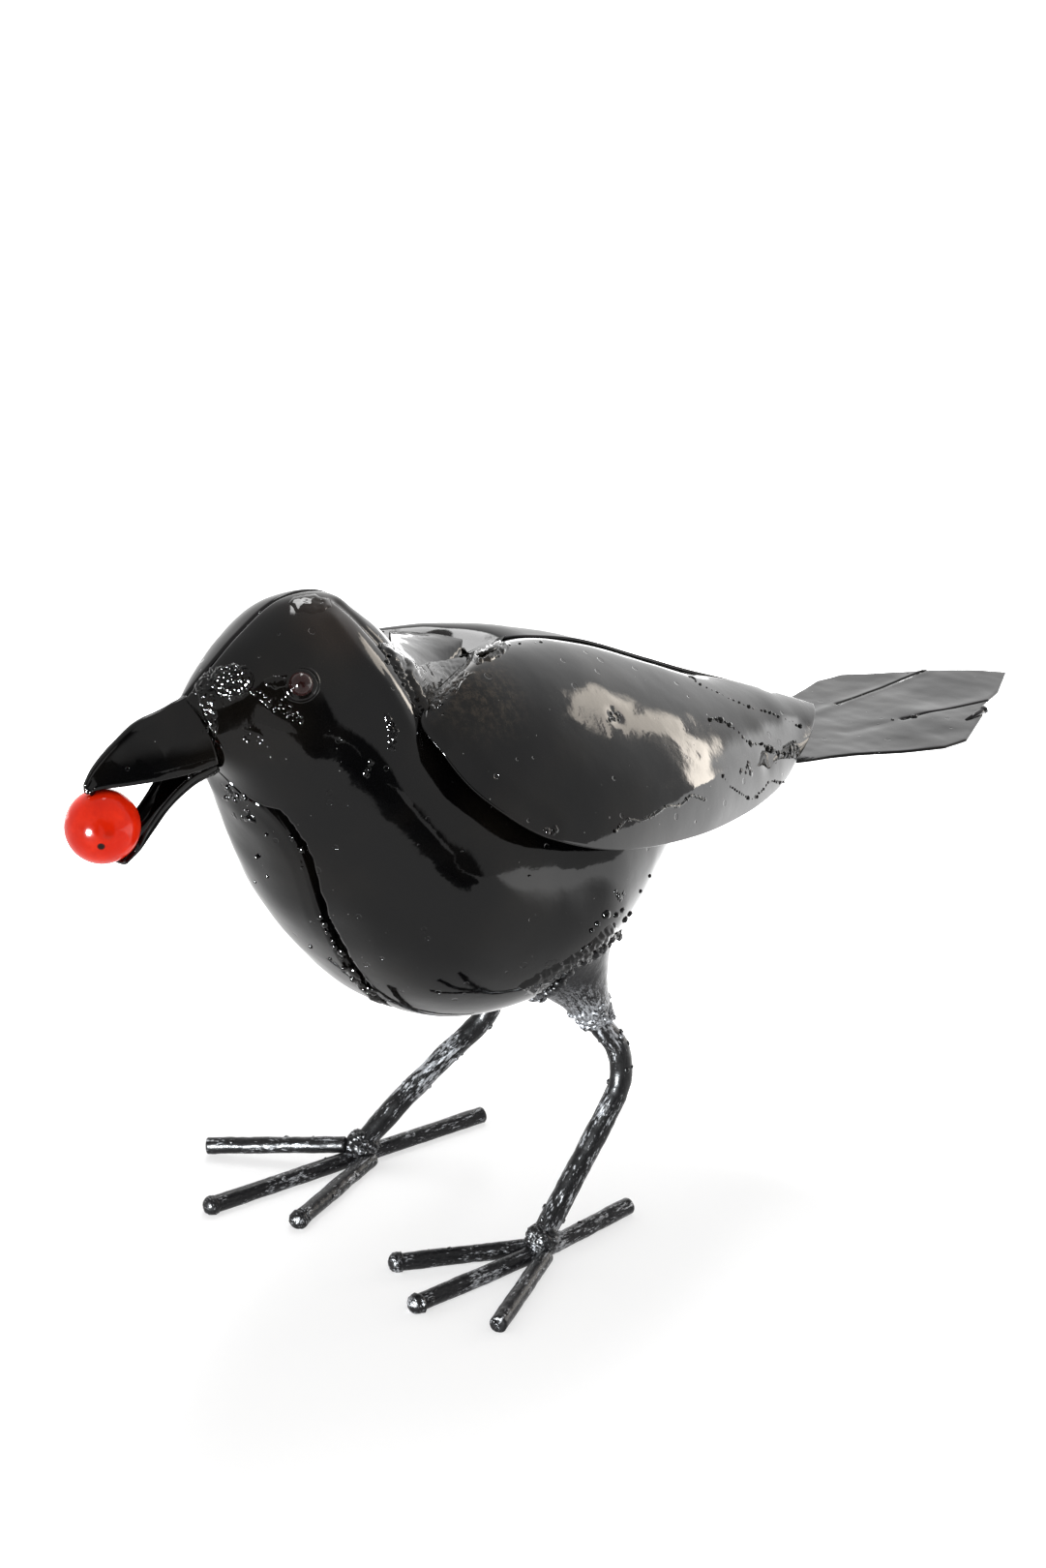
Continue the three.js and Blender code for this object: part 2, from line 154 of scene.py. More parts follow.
UPPER_WAVES = [(0.35, 14, 0), (0.08, 5, 1)]
LOWER_WAVES = [(0.12, 8, 0)]
# The widest share of a beak's sheet that the rounding of each edge may take
BEAK_EDGE = 0.08

# The bars of the legs and toes. A toe's third value is how far it rises above its lying height
LEG_RADIUS = 4
TOE_RADIUS = 3
TOE_HEIGHT = 2.6
WELD_HEIGHT = 6.5
LEGS = {
    "left": {
        "path": [(47.3, -66.6, 7.5), (45.6, -56.4, 18), (44.8, -38.4, 40), (44.8, -29.7, 54),
                 (43.6, -30, 65), (39.5, -35.5, 76), (37, -39, 88)],
        "long": [(48.3, -122, 0), (46.5, -62, 0), (42, -23, 0)],
        "inner": [(21.8, -110, 0), (43.5, -66.5, 0)],
        "outer": [(75.6, -109, 0), (51, -68.5, 0)],
        "hip": (36, -41.2, 90),
    },
    "right": {
        "path": [(-47.3, -70.7, 7.5), (-45, -57.5, 18.8), (-40, -36.5, 35.8), (-36, -24, 46.6),
                 (-34, -21.5, 54), (-34, -26.5, 66), (-35.5, -34, 76), (-36.5, -39, 88)],
        "long": [(-50.8, -134.6, 0), (-48, -67, 0), (-45.6, -17, 0)],
        "inner": [(-22.6, -117.4, 0), (-43.5, -70, 0)],
        "outer": [(-87.5, -109.5, 1.2), (-50.5, -76, 5)],
        "hip": (-35, -43, 90),
    },
}
TOE_WAVES = [(0.2, 9, 0), (0.12, 2.6, 1)]
LEG_WAVES = [(0.3, 9, 0), (0.14, 2.6, 1)]
# The thigh's cone as heights above its lower end and radii
THIGH_PROFILE = [(0, 5.6), (4, 6.6), (12, 9.3), (21, 14), (30, 20), (36, 24)]
THIGH_WAVES = [(0.5, 13, 0), (0.16, 4, 1)]

# The camera, which the marks on the surfaces are also placed through. Angles are in degrees
CAMERA_TARGET = (-0.076825, 0.0353, 0.110)
CAMERA_DISTANCE = 1.14345
CAMERA_AZIMUTH = 50
CAMERA_ELEVATION = 20
IMAGE_SIZE = (1081, 1620)
FOCAL_PIXELS = 3150
SENSOR = 36


# Curves and noise
def spline(points, at):
    """A centripetal Catmull-Rom curve, read at shares from 0, its first point, to 1, its last."""
    p = np.asarray(points, float)
    p = np.vstack([2 * p[0] - p[1], p, 2 * p[-1] - p[-2]])
    last = len(p) - 4
    place = np.clip(np.asarray(at, float), 0, 1) * (last + 1)
    i = np.minimum(place.astype(int), last)
    gap = np.sqrt(np.linalg.norm(np.diff(p, axis=0), axis=1))
    before, here, after = (gap[i + k][..., None] for k in range(3))
    p0, p1, p2, p3 = (p[i + k] for k in range(4))
    slope_from = ((p1 - p0) / before - (p2 - p0) / (before + here) + (p2 - p1) / here) * here
    slope_to = ((p2 - p1) / here - (p3 - p1) / (here + after) + (p3 - p2) / after) * here
    return hermite(p1, p2, slope_from, slope_to, (place - i)[..., None])


def hermite(start, end, slope_from, slope_to, f):
    """A cubic from start to end with the slopes given, read at the share f."""
    bend = 3 * (end - start) - 2 * slope_from - slope_to
    twist = 2 * (start - end) + slope_from + slope_to
    return start + slope_from * f + bend * f**2 + twist * f**3


def stations(table, at):
    """A smooth value between the rows of a table, read at shares from 0 to 1."""
    padded = np.vstack([table[0], table, table[-1]])
    place = np.clip(at, 0, 1) * (len(table) - 1)
    i = np.minimum(place.astype(int), len(table) - 2)
    before, start, end, after = (padded[i + k] for k in range(4))
    return hermite(start, end, (end - before) / 2, (after - start) / 2, (place - i)[..., None])


def noise(points, cell, seed):
    """Smooth gradient noise from about -1 to 1, with features of about cell millimetres."""
    rng = np.random.RandomState(seed)
    table = rng.permutation(256)
    slopes = rng.normal(size=(256, 3))
    slopes /= np.linalg.norm(slopes, axis=1)[:, None]
    p = np.asarray(points, float) / cell
    base = np.floor(p).astype(int)
    f = p - base
    ease = f**3 * (f * (f * 6 - 15) + 10)
    total = np.zeros(p.shape[:-1])
    for corner in np.ndindex(2, 2, 2):
        c = np.array(corner)
        x, y, z = np.moveaxis(base + c, -1, 0) & 255
        slope = slopes[table[(table[(table[x] + y) & 255] + z) & 255]]
        weight = np.prod(np.where(c, ease, 1 - ease), axis=-1)
        total += weight * ((f - c) * slope).sum(-1)
    return total * 1.6


def waves(points, seed, layers):
    """Noise in layers of height, cell and what is added to the seed."""
    return sum(height * noise(points, cell, seed + step) for height, cell, step in layers)


def smoothstep(low, high, value):
    t = np.clip((value - low) / (high - low), 0, 1)
    return t * t * (3 - 2 * t)


def hump(distance, width):
    return np.exp(-((distance / width) ** 2))


def line_distance(points, line):
    """The distance of each point from a line of straight stretches, and how far along it that is."""
    best = np.full(points.shape[:-1], 1e9)
    along = np.zeros(points.shape[:-1])
    start = 0.0
    for a, b in zip(np.asarray(line[:-1], float), np.asarray(line[1:], float)):
        step = b - a
        length = np.linalg.norm(step)
        if length == 0:
            continue
        t = np.clip(((points - a) @ step) / length**2, 0, 1)
        gap = np.linalg.norm(points - (a + t[..., None] * step), axis=-1)
        nearer = gap < best
        best = np.where(nearer, gap, best)
        along = np.where(nearer, start + t * length, along)
        start += length
    return best, along


def inside(outline, x, y):
    """Whether each point x, y lies inside a closed outline."""
    odd = np.zeros(np.shape(x), bool)
    for (ax, ay), (bx, by) in zip(outline, outline[1:] + outline[:1]):
        if ay != by:
            crosses = (ay > y) != (by > y)
            odd ^= crosses & (x < ax + (y - ay) * (bx - ax) / (by - ay))
    return odd


def flat(points):
    """Points x, y with a third value of 0."""
    return [(x, y, 0) for x, y in points]


# Making meshes
def drawing_shift():
    """From the drawing, around the centre seam, to the row frame."""
    low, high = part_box("berry")
    return np.array((low + high) / 2) / MM - np.array(BERRY_CENTRE)


def direction(azimuth, elevation):
    """The way to an azimuth and elevation in degrees, where azimuth 0 is straight ahead of the bird."""
    azimuth, elevation = math.radians(azimuth), math.radians(elevation)
    return Vector((
        math.sin(azimuth) * math.cos(elevation),
        -math.cos(azimuth) * math.cos(elevation),
        math.sin(elevation),
    ))


SHIFT = drawing_shift()
CAMERA_BACK = direction(CAMERA_AZIMUTH, CAMERA_ELEVATION)
CAMERA_RIGHT = Vector((0, 0, 1)).cross(CAMERA_BACK).normalized()
CAMERA_UP = CAMERA_BACK.cross(CAMERA_RIGHT)
# Lumps that face this way glint: it is halfway between the camera and the small front light
GLINT = np.array(direction(34, 8))
# The way halfway between the camera and the softbox behind the bird
SIDE_GLINT = np.array((CAMERA_BACK + direction(173, 11)).normalized())


def numbered(rows, columns):
    return np.arange(rows * columns).reshape(rows, columns)


def grid_faces(number):
    """Quads over a grid of point numbers."""
    corners = [number[:-1, :-1], number[1:, :-1], number[1:, 1:], number[:-1, 1:]]
    return np.stack(corners, -1).reshape(-1, 4)


def grid_normals(points):
    normal = np.cross(np.gradient(points, axis=0), np.gradient(points, axis=1))
    return normal / np.maximum(np.linalg.norm(normal, axis=-1), 1e-9)[..., None]


def volume(points, faces):
    """Six times the volume that the faces close, less than 0 where they face inwards."""
    total = 0.0
    for face in faces:
        for k in range(1, face.shape[1] - 1):
            a, b, c = points[face[:, 0]], points[face[:, k]], points[face[:, k + 1]]
            total += np.einsum("ij,ij->", a, np.cross(b, c))
    return total


def picture_line(px, py):
    """The camera's line through a point of the picture, in drawing millimetres: start and direction."""
    start = (Vector(CAMERA_TARGET) + CAMERA_BACK * CAMERA_DISTANCE) / MM - Vector(SHIFT)
    across = (px - IMAGE_SIZE[0] / 2) / FOCAL_PIXELS
    down = (py - IMAGE_SIZE[1] / 2) / FOCAL_PIXELS
    return start, (CAMERA_RIGHT * across - CAMERA_UP * down - CAMERA_BACK).normalized()


def picture_point(points):
    """Where drawing points show in the picture, as px, py and 0."""
    back = np.array(CAMERA_BACK)
    right = np.cross([0, 0, 1], back)
    right /= np.linalg.norm(right)
    up = np.cross(back, right)
    offset = (points + SHIFT) * MM - np.array(CAMERA_TARGET)
    scale = FOCAL_PIXELS / (CAMERA_DISTANCE - offset @ back)
    px = IMAGE_SIZE[0] / 2 + scale * (offset @ right)
    py = IMAGE_SIZE[1] / 2 - scale * (offset @ up)
    return np.stack([px, py, 0 * px], -1)


class Skin:
    """A surface that marks are placed on, through the picture or at the nearest point."""

    def __init__(self, points):
        faces = grid_faces(numbered(*points.shape[:2]))
        self.tree = BVHTree.FromPolygons(points.reshape(-1, 3).tolist(), faces.tolist())

    def seen(self, px, py):
        """The place and the normal, turned to the camera, that show at a point of the picture."""
        start, ray = picture_line(px, py)
        hit, normal = self.tree.ray_cast(start, ray)[:2]
        if hit is None:
            # just past the outline: the nearest point to the line of sight
            reach = CAMERA_DISTANCE / MM
            for _ in range(8):
                hit, normal = self.tree.find_nearest(start + ray * reach)[:2]
                reach = (hit - start).dot(ray)
        if normal.dot(ray) > 0:
            normal = -normal
        return np.array(hit), np.array(normal)

    def seen_all(self, px, py):
        """Places and normals for whole arrays of picture points."""
        found = [self.seen(x, y) for x, y in zip(np.ravel(px), np.ravel(py))]
        places, normals = (np.array(part).reshape(*np.shape(px), 3) for part in zip(*found))
        return places, normals

    def line(self, pixels, step):
        """Points and normals about step millimetres apart along a line drawn in the picture."""
        dense = spline(np.array(flat(pixels), float), np.linspace(0, 1, 12 * len(pixels)))
        places, normals = self.seen_all(dense[:, 0], dense[:, 1])
        run = path_run(places)
        stops = np.linspace(0, run[-1], max(int(run[-1] / step) + 1, 2))
        places = np.stack([np.interp(stops, run, places[:, k]) for k in range(3)], -1)
        normals = np.stack([np.interp(stops, run, normals[:, k]) for k in range(3)], -1)
        return places, normals / np.linalg.norm(normals, axis=1)[:, None]


def path_run(path):
    """How far along a path each of its points is."""
    return np.r_[0, np.cumsum(np.linalg.norm(np.diff(path, axis=0), axis=1))]


def frames_along(path):
    """Two directions across a path, at each of its points, that don't twist."""
    tangents = np.gradient(path, axis=0)
    tangents /= np.linalg.norm(tangents, axis=1)[:, None]
    start = np.array([0.0, 0.0, 1.0]) if abs(tangents[0, 2]) < 0.8 else np.array([1.0, 0.0, 0.0])
    across = np.zeros_like(path)
    current = start - tangents[0] * (start @ tangents[0])
    for i, tangent in enumerate(tangents):
        current = current - tangent * (current @ tangent)
        current = current / np.linalg.norm(current)
        across[i] = current
    return across, np.cross(tangents, across)


def unit(vector):
    return vector / np.linalg.norm(vector)


def add_object(name, data):
    made = bpy.data.objects.new(name, data)
    bpy.context.scene.collection.objects.link(made)
    return made


class Shape:
    """Closed forms that are gathered into one piece. flow is where each point lies on its straight bar."""

    def __init__(self):
        self.points, self.faces, self.flow, self.count = [], [], [], 0

    def add(self, points, *faces, flow=None):
        """A closed form, turned inside out if its faces look inwards."""
        points = np.asarray(points, float).reshape(-1, 3)
        faces = [np.asarray(f) for f in faces if len(f)]
        if volume(points - points[0], faces) < 0:
            faces = [f[:, ::-1] for f in faces]
        self.faces += [f + self.count for f in faces]
        self.points.append(points)
        self.flow.append(points if flow is None else flow)
        self.count += len(points)

    def add_rings(self, rings, ends, flow=None):
        """Rings of points, closed by a fan of faces round a middle point at each end."""
        count, sides = rings.shape[:2]
        number = numbered(count, sides)
        number = np.hstack([number, number[:, :1]])
        fans = [
            np.stack([np.full(sides, number.max() + 1), number[0, :-1], number[0, 1:]], -1),
            np.stack([np.full(sides, number.max() + 2), number[-1, 1:], number[-1, :-1]], -1),
        ]
        self.add(np.vstack([rings.reshape(-1, 3), *ends]), grid_faces(number), np.vstack(fans), flow=flow)

    def ball(self, centre, normal, radius, height, rng, rings=6, sides=10, rough=0.1):
        """A lump of weld or paint with its own tilt and bumps."""
        axis = np.asarray(normal, float)
        side = unit(np.cross(axis, [0.3, 0.5, 0.8]))
        other = np.cross(axis, side)
        polar = np.pi * np.arange(1, rings) / rings
        turn = 2 * np.pi * np.arange(sides) / sides + rng.uniform(0, 6)
        p, t = np.meshgrid(polar, turn, indexing="ij")
        size = 1 + rough * rng.normal(size=p.shape)
        reach = radius * size * np.sin(p)
        offset = (
            (reach * np.cos(t))[..., None] * side
            + (reach * np.sin(t))[..., None] * other
            + (height * size * np.cos(p))[..., None] * axis
        )
        self.add_rings(offset + centre, [axis * height + centre, -axis * height + centre])

    def tube(self, path, radii, sides, bumps=None, floor=None):
        """A bar along a path, closed at both ends. bumps gives each point's extra radius."""
        path = np.asarray(path, float)
        radii = np.broadcast_to(np.asarray(radii, float), (len(path),))[:, None]
        across, other = frames_along(path)
        turn = 2 * np.pi * np.arange(sides) / sides
        ring = across[:, None] * np.cos(turn)[None, :, None] + other[:, None] * np.sin(turn)[None, :, None]
        points = path[:, None] + ring * radii[..., None]
        if bumps is not None:
            points = points + ring * bumps(points)[..., None]
        if floor is not None:
            points[..., 2] = np.maximum(points[..., 2], floor)
        run = path_run(path)
        flow = np.stack(np.broadcast_arrays(run[:, None], radii * np.cos(turn), radii * np.sin(turn)), -1)
        flow = np.vstack([flow.reshape(-1, 3), [[0, 0, 0], [run[-1], 0, 0]]])
        self.add_rings(points, [points[0].mean(0), points[-1].mean(0)], flow)

    def sheet(self, middle, outward, half, relief=0.0):
        """Two layers around a middle surface, which meet where the half thickness is nothing."""
        relief = np.broadcast_to(relief, middle.shape[:2])
        over = middle + outward * (half + relief)[..., None]
        under = middle + outward * (relief - half)[..., None]
        faces = grid_faces(numbered(*relief.shape))
        self.add(np.stack([over, under]), np.vstack([faces, faces[:, ::-1] + relief.size]))

    def lumps(self, path, span, radius, count, low, high, stretch, rng, rise=None):
        """Drops of weld at random places of a bar. Without rise they lie square to its path."""
        for _ in range(count):
            i = rng.randint(*span)
            out = rng.normal(size=3)
            if rise is None:
                out = np.cross(path[i + 1] - path[i], out)
            else:
                out[2] = abs(out[2]) * rise
            out = unit(out)
            size = rng.uniform(low, high)
            self.ball(path[i] + out * (radius - 0.3 * size), out, size * stretch, size, rng)

    def piece(self, name, node, slot, material, floor=None):
        """Makes the piece in the row frame. It stands for a CAD node and takes the material given."""
        points = np.vstack(self.points)
        if floor is not None:
            points[:, 2] = np.maximum(points[:, 2], floor)
        faces = [row for form in self.faces for row in form.tolist()]
        mesh = bpy.data.meshes.new(name)
        mesh.from_pydata(((points + SHIFT) * MM).tolist(), [], faces)
        flow = mesh.attributes.new("flow", "FLOAT_VECTOR", "POINT")
        flow.data.foreach_set("vector", np.vstack(self.flow).astype(np.float32).ravel())
        weld_close_points(mesh)
        mesh.polygons.foreach_set("use_smooth", np.ones(len(mesh.polygons), bool))
        piece = add_object(name, mesh)
        mesh.materials.append(material)
        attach(piece, "root")
        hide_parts(node)


def weld_close_points(mesh):
    form = bmesh.new()
    form.from_mesh(mesh)
    bmesh.ops.remove_doubles(form, verts=form.verts, dist=1e-7)
    form.to_mesh(mesh)
    form.free()
    mesh.validate()
    mesh.update()


def edge_spaced(count, edge_share):
    """Shares from 0 to 1 that crowd near both ends, where a sheet's edge is rounded."""
    share = np.atleast_1d(edge_share)[:, None]
    start = np.array([0, 0.04, 0.15, 0.35, 0.65, 1.0])[None] * share
    inner = start[:, -1:] + (1 - 2 * start[:, -1:]) * np.linspace(0, 1, count - 10)[None, 1:-1]
    return np.hstack([start, inner, 1 - start[:, ::-1]])


def rounded_half(distance):
    """The half thickness of a sheet at a distance from its edge, where it is rounded off."""
    half = SHEET / 2
    near = np.clip(distance / half, 0, 1)
    return half * np.sqrt(1 - (1 - near) ** 2)


def square(rows, columns):
    return np.meshgrid(np.linspace(0, 1, rows), np.linspace(0, 1, columns), indexing="ij")


def sheet_grid(surface, rows, columns, length=None, widest=1.0):
    """A surface's points, crowded at its edges, how far inside them each one is, and its shares u and v."""
    u, v = square(rows, columns)
    if length is not None:
        u = edge_spaced(rows, SHEET / 2 / length)[0][:, None] + 0 * u
    rough = surface(u, v)
    width = np.linalg.norm(np.diff(rough, axis=1), axis=-1).sum(1)
    run = np.linalg.norm(np.diff(rough, axis=0), axis=-1).sum(0).mean()
    if length is None:
        u = edge_spaced(rows, SHEET / 2 / run)[0][:, None] + 0 * u
    v = edge_spaced(columns, np.minimum(SHEET / 2 / width, widest))
    inward = np.minimum(np.minimum(v, 1 - v) * width[:, None], np.minimum(u, 1 - u) * run)
    return surface(u, v), inward, u, v


class Marks:
    """Marks of the weld and the paint on a surface. Their lines and outlines are drawn in the picture."""

    def __init__(self, shape, skin, rng):
        self.shape, self.skin, self.rng = shape, skin, rng

    def beads(self, pixels, step, radius, sunk=0.35, jitter=0.3, facing=None, plump=1.0):
        """A row of small lumps along a line."""
        rng = self.rng
        for place, normal in zip(*self.skin.line(pixels, step)):
            normal = normal if facing is None else facing
            size = radius * rng.uniform(0.6, 1.4)
            place = place + rng.normal(size=3) * jitter * radius - normal * sunk * size
            wide = size * rng.uniform(0.9, 1.3)
            self.shape.ball(place, normal, wide, size * plump * rng.uniform(0.7, 1.0), rng, 6, 10, 0.12)

    def patch(self, outline, count, low, high, stretch=1.0, plump=0.6, spread=0.25, facing=None):
        """Lumps scattered over an outline, from low to high in radius."""
        rng = self.rng
        corners = np.array(outline, float)
        while count > 0:
            px, py = rng.uniform(corners.min(0), corners.max(0))
            if not inside(outline, px, py):
                continue
            place, normal = self.skin.seen(px, py)
            size = rng.uniform(low, high)
            toward = normal if facing is None else facing
            tilt = unit(toward + spread * rng.normal(size=3))
            wide = size * rng.uniform(1, 1 + stretch)
            self.shape.ball(place - normal * 0.25 * size, tilt, wide, size * plump, rng, 5, 9, 0.1)
            count -= 1

    def drops(self, places):
        """Single drops at points px, py, with their radius."""
        for px, py, size in places:
            place, normal = self.skin.seen(px, py)
            self.shape.ball(place - normal * 0.3 * size, normal, size, size, self.rng)

    def drip(self, pixels, radius, sunk=0.5):
        """A run of paint or a thin ridge of weld, lying on the surface and tapering at its ends."""
        places, normals = self.skin.line(pixels, 0.6)
        share = np.clip(np.linspace(0, 1, len(places)), 0.02, 0.98)
        radii = radius * np.maximum(np.sin(np.pi * share), 0.05) ** 0.4
        wobble = 1 + 0.25 * noise(places, 3, 5)
        self.shape.tube(places - normals * sunk * radius, radii * wobble, 10)

    def crust(self, outline, height, wrinkle, cell, seed, step=1.0, edge=6.0):
        """A patch of weld, raised and wrinkled, thinning out at its edge. Returns its own skin."""
        corners = np.array(outline, float)
        low, high = corners.min(0) - 2, corners.max(0) + 2
        counts = ((high - low) / step).astype(int) + 2
        xs, ys = (np.linspace(low[k], high[k], counts[k]) for k in (0, 1))
        px, py = np.meshgrid(xs, ys, indexing="ij")
        places, normals = self.skin.seen_all(px, py)
        shown = np.stack([px, py, 0 * px], -1)
        gap = line_distance(shown, flat(outline + outline[:1]))[0]
        depth = np.where(inside(outline, px, py), gap, -gap) + 2.0 * noise(shown, 7, seed + 2)
        window = smoothstep(-1, edge, depth)
        warp = places + np.stack([noise(places, cell * 2, seed + k) for k in (5, 6, 7)], -1) * cell
        folds = 1 - 2.2 * np.abs(noise(warp, cell, seed)) + 0.5 * noise(places, cell / 2, seed + 1)
        rise = window * (height + wrinkle * folds) - 0.5 * (1 - window)
        top = places + normals * rise[..., None]
        bottom = places - normals * 1.5
        rim = depth < -2.5
        rim[[0, -1]] = True
        rim[:, [0, -1]] = True
        bottom[rim] = top[rim] = places[rim] - normals[rim] * 0.9
        faces = grid_faces(numbered(*px.shape))
        faces = faces[~rim.ravel()[faces].all(1)]
        self.shape.add(np.stack([top, bottom]), np.vstack([faces, faces[:, ::-1] + px.size]))
        return Skin(top)


def dents(points, skin, marks):
    """The rise of the surface from marks of px, py, radius and height, in millimetres but for px and py."""
    rise = np.zeros(points.shape[:-1])
    for px, py, radius, height in marks:
        rise += height * hump(np.linalg.norm(points - skin.seen(px, py)[0], axis=-1), radius)
    return rise


def fold(points, skin, pixels, width, height):
    """A soft ridge along a line of the picture."""
    return height * hump(line_distance(points, skin.line(pixels, 3)[0])[0], width)


# The body
def body_surface(t, angle_share, label):
    """One half of the body. angle_share runs from the crown, 0, round the side to the breast, 1."""
    side = SIDES[label]
    top_y, top_z, low_y, low_z, half, widest, wander, slit = np.moveaxis(stations(BODY_STATIONS, t), -1, 0)
    power = np.log(widest) / math.log(0.5)
    seam_angle = np.pi - side * np.arcsin(np.clip(wander / half, -1, 1))
    angle = seam_angle * angle_share
    down = ((1 - np.cos(angle)) / 2) ** power
    x = side * (half * np.sin(angle) + GAP / 2 + slit * np.maximum(0, 1 - 3 * down))
    y = top_y + (low_y - top_y) * down
    z = top_z + (low_z - top_z) * down
    return np.stack([x, y, z], -1)


def tuck_under_wings(points, centres):
    """Pulls in what would stand above a wing sheet, so that it lies just under it."""
    moved = points.reshape(-1, 3).copy()
    middle = centres.reshape(-1, 3)
    outward = moved - middle
    reach = np.linalg.norm(outward, axis=1)
    for i in np.nonzero((moved[:, 1] > WINGS_FRONT) & (moved[:, 2] > WINGS_FOOT))[0]:
        toward = outward[i] / max(reach[i], 1e-6)
        for skin in wing_skins.values():
            hit = skin.tree.ray_cast(Vector(middle[i]), Vector(toward), reach[i] + TUCK_DEPTH)
            if hit[0] is not None:
                moved[i] = middle[i] + toward * max(hit[3] - TUCK_DEPTH, 0)
    return moved.reshape(points.shape)


# Where the head, breast and belly carry dents, by px, py, radius and height of the rise
BODY_DENTS = {
    "left": [
        (300, 660, 16, 0.7), (345, 690, 9, -0.7), (285, 800, 14, 0.5), (420, 900, 22, -0.9),
        (480, 960, 18, 0.7), (560, 940, 16, -0.6), (640, 900, 12, 0.7), (610, 930, 10, -0.6),
        (250, 770, 7, -0.5), (345, 960, 10, -0.7), (440, 1020, 12, 0.5),
    ],
    "right": [(262, 880, 8, -0.6), (290, 935, 9, 0.6), (245, 840, 6, 0.5)],
}
CREASES = [
    ([(350, 622), (366, 634), (386, 654), (404, 674), (414, 684)], 2.2, -1.0),
    ([(350, 722), (366, 750), (382, 776), (398, 806)], 7.5, 0.45),
]
# The strip beside the nape's opening, in the picture: its ridge in front and the opening behind.
# It rises above the shell at the ridge, and falls by a share of the way, at PIXEL millimetres each
NAPE_RIDGE = [
    (334, 624), (345, 640), (362, 662), (380, 684), (400, 706), (416, 734), (426, 756), (433, 780),
]
NAPE_OPENING = [
    (346, 616), (364, 632), (386, 654), (406, 676), (424, 698), (440, 724), (452, 748), (458, 772),
]
NAPE_RISE = 0.8
NAPE_FALL = 0.19
PIXEL = 0.363


def seam_slot(t):
    """How far the near shell's edge stands back from the breast seam, which is open and dark."""
    reach = smoothstep(SEAM_START, SEAM_START + 0.05, t) * smoothstep(SEAM_END + 0.04, SEAM_END, t)
    ragged = np.stack([t * 240, 0 * t, 0 * t], -1)
    return SEAM_WIDTH * reach * (1 + waves(ragged, 71, [(0.3, 9, 0), (0.25, 3.5, 1)]))


def nape_strip(points):
    """A ridge that rises from the side of the nape and falls away flat to the nape's opening."""
    shown = picture_point(points)
    from_ridge, along = line_distance(shown, flat(NAPE_RIDGE))
    from_opening = line_distance(shown, flat(NAPE_OPENING))[0]
    between = inside(NAPE_RIDGE + NAPE_OPENING[::-1], shown[..., 0], shown[..., 1])
    fall = NAPE_FALL * PIXEL
    low_rise = NAPE_RISE - fall * (from_ridge + from_opening)
    outside = np.where(
        from_ridge < from_opening,
        NAPE_RISE * hump(from_ridge * PIXEL, 3), low_rise * hump(from_opening * PIXEL, 2),
    )
    rise = np.where(between, NAPE_RISE - fall * from_ridge, outside)
    return rise * smoothstep(0, 22, along) * smoothstep(0, 30, along.max() - along)


def body_relief(points, share, label):
    seed = BODY_SEEDS[label]
    relief = waves(points, seed, BODY_WAVES)
    # the sheet is drawn in fine upright folds at the rear of the belly
    drawn = noise(points * [1, 1, 0.2], 4.5, seed + 60)
    relief += 0.05 * drawn * smoothstep(-62, -40, points[..., 1]) * smoothstep(150, 135, points[..., 2])
    relief = relief * smoothstep(0, 0.06, share) * smoothstep(0, 0.04, 1 - share)
    skin = body_skins[label]
    relief += dents(points, skin, BODY_DENTS[label])
    if label == "left":
        for pixels, width, height in CREASES:
            relief += fold(points, skin, pixels, width, height)
        relief += nape_strip(points)
    return relief


def edge_run(points):
    """How far each point of a half lies from the crown's seam and from the breast's."""
    girth = np.linalg.norm(np.diff(points, axis=1), axis=-1)
    from_crown = np.hstack([np.zeros((len(points), 1)), np.cumsum(girth, 1)])
    return from_crown, from_crown[:, -1:] - from_crown


def body_shell(label):
    t, share = square(BODY_RINGS, BODY_COLUMNS)
    points = body_surface(t, share, label)
    if label == "left":
        share = share * (1 - seam_slot(t) / edge_run(points)[0][:, -1:])
        points = body_surface(t, share, label)
    outward = -SIDES[label] * grid_normals(points)
    from_crown, from_breast = edge_run(points)
    rise = body_relief(points, share, label)
    if label == "right":
        # the far shell turns in along a crease beside the seam
        rise -= 0.14 * np.maximum(0, 6 - from_breast) * smoothstep(0.1, 0.2, t) * smoothstep(0.36, 0.28, t)
    for distance, turn in ((from_crown, CROWN_TURN), (from_breast, BREAST_TURN)):
        near = np.clip(distance / turn, 0, 1)
        rise -= turn * (1 - np.sqrt(1 - (1 - near) ** 2))
    points = points + outward * rise[..., None]
    middle = (points[:, :1] + points[:, -1:]) / 2 + np.zeros_like(points)
    return tuck_under_wings(points, middle)


def add_body_shell(shape, label):
    points = body_shell(label)
    number = numbered(*points.shape[:2])
    wall = np.stack([number[:-1, 0], number[:-1, -1], number[1:, -1], number[1:, 0]], -1)
    shape.add(points, np.vstack([grid_faces(number), wall]), number[:1, :], number[-1:, ::-1])


# Runs of paint on the face, with their radius
FACE_DRIPS = [
    ([(224, 706), (228, 720), (233, 734)], 0.55),
    ([(215, 736), (219, 752), (215, 766)], 0.6),
    ([(219, 734), (224, 748), (222, 762)], 0.55),
    ([(216, 688), (220, 698), (224, 710)], 0.9),
    ([(206, 710), (210, 718)], 0.6),
    ([(272, 702), (277, 706), (283, 708)], 1.5),
    ([(290, 707), (298, 710), (304, 711)], 0.8),
    ([(262, 716), (274, 726), (288, 730)], 0.6),
]


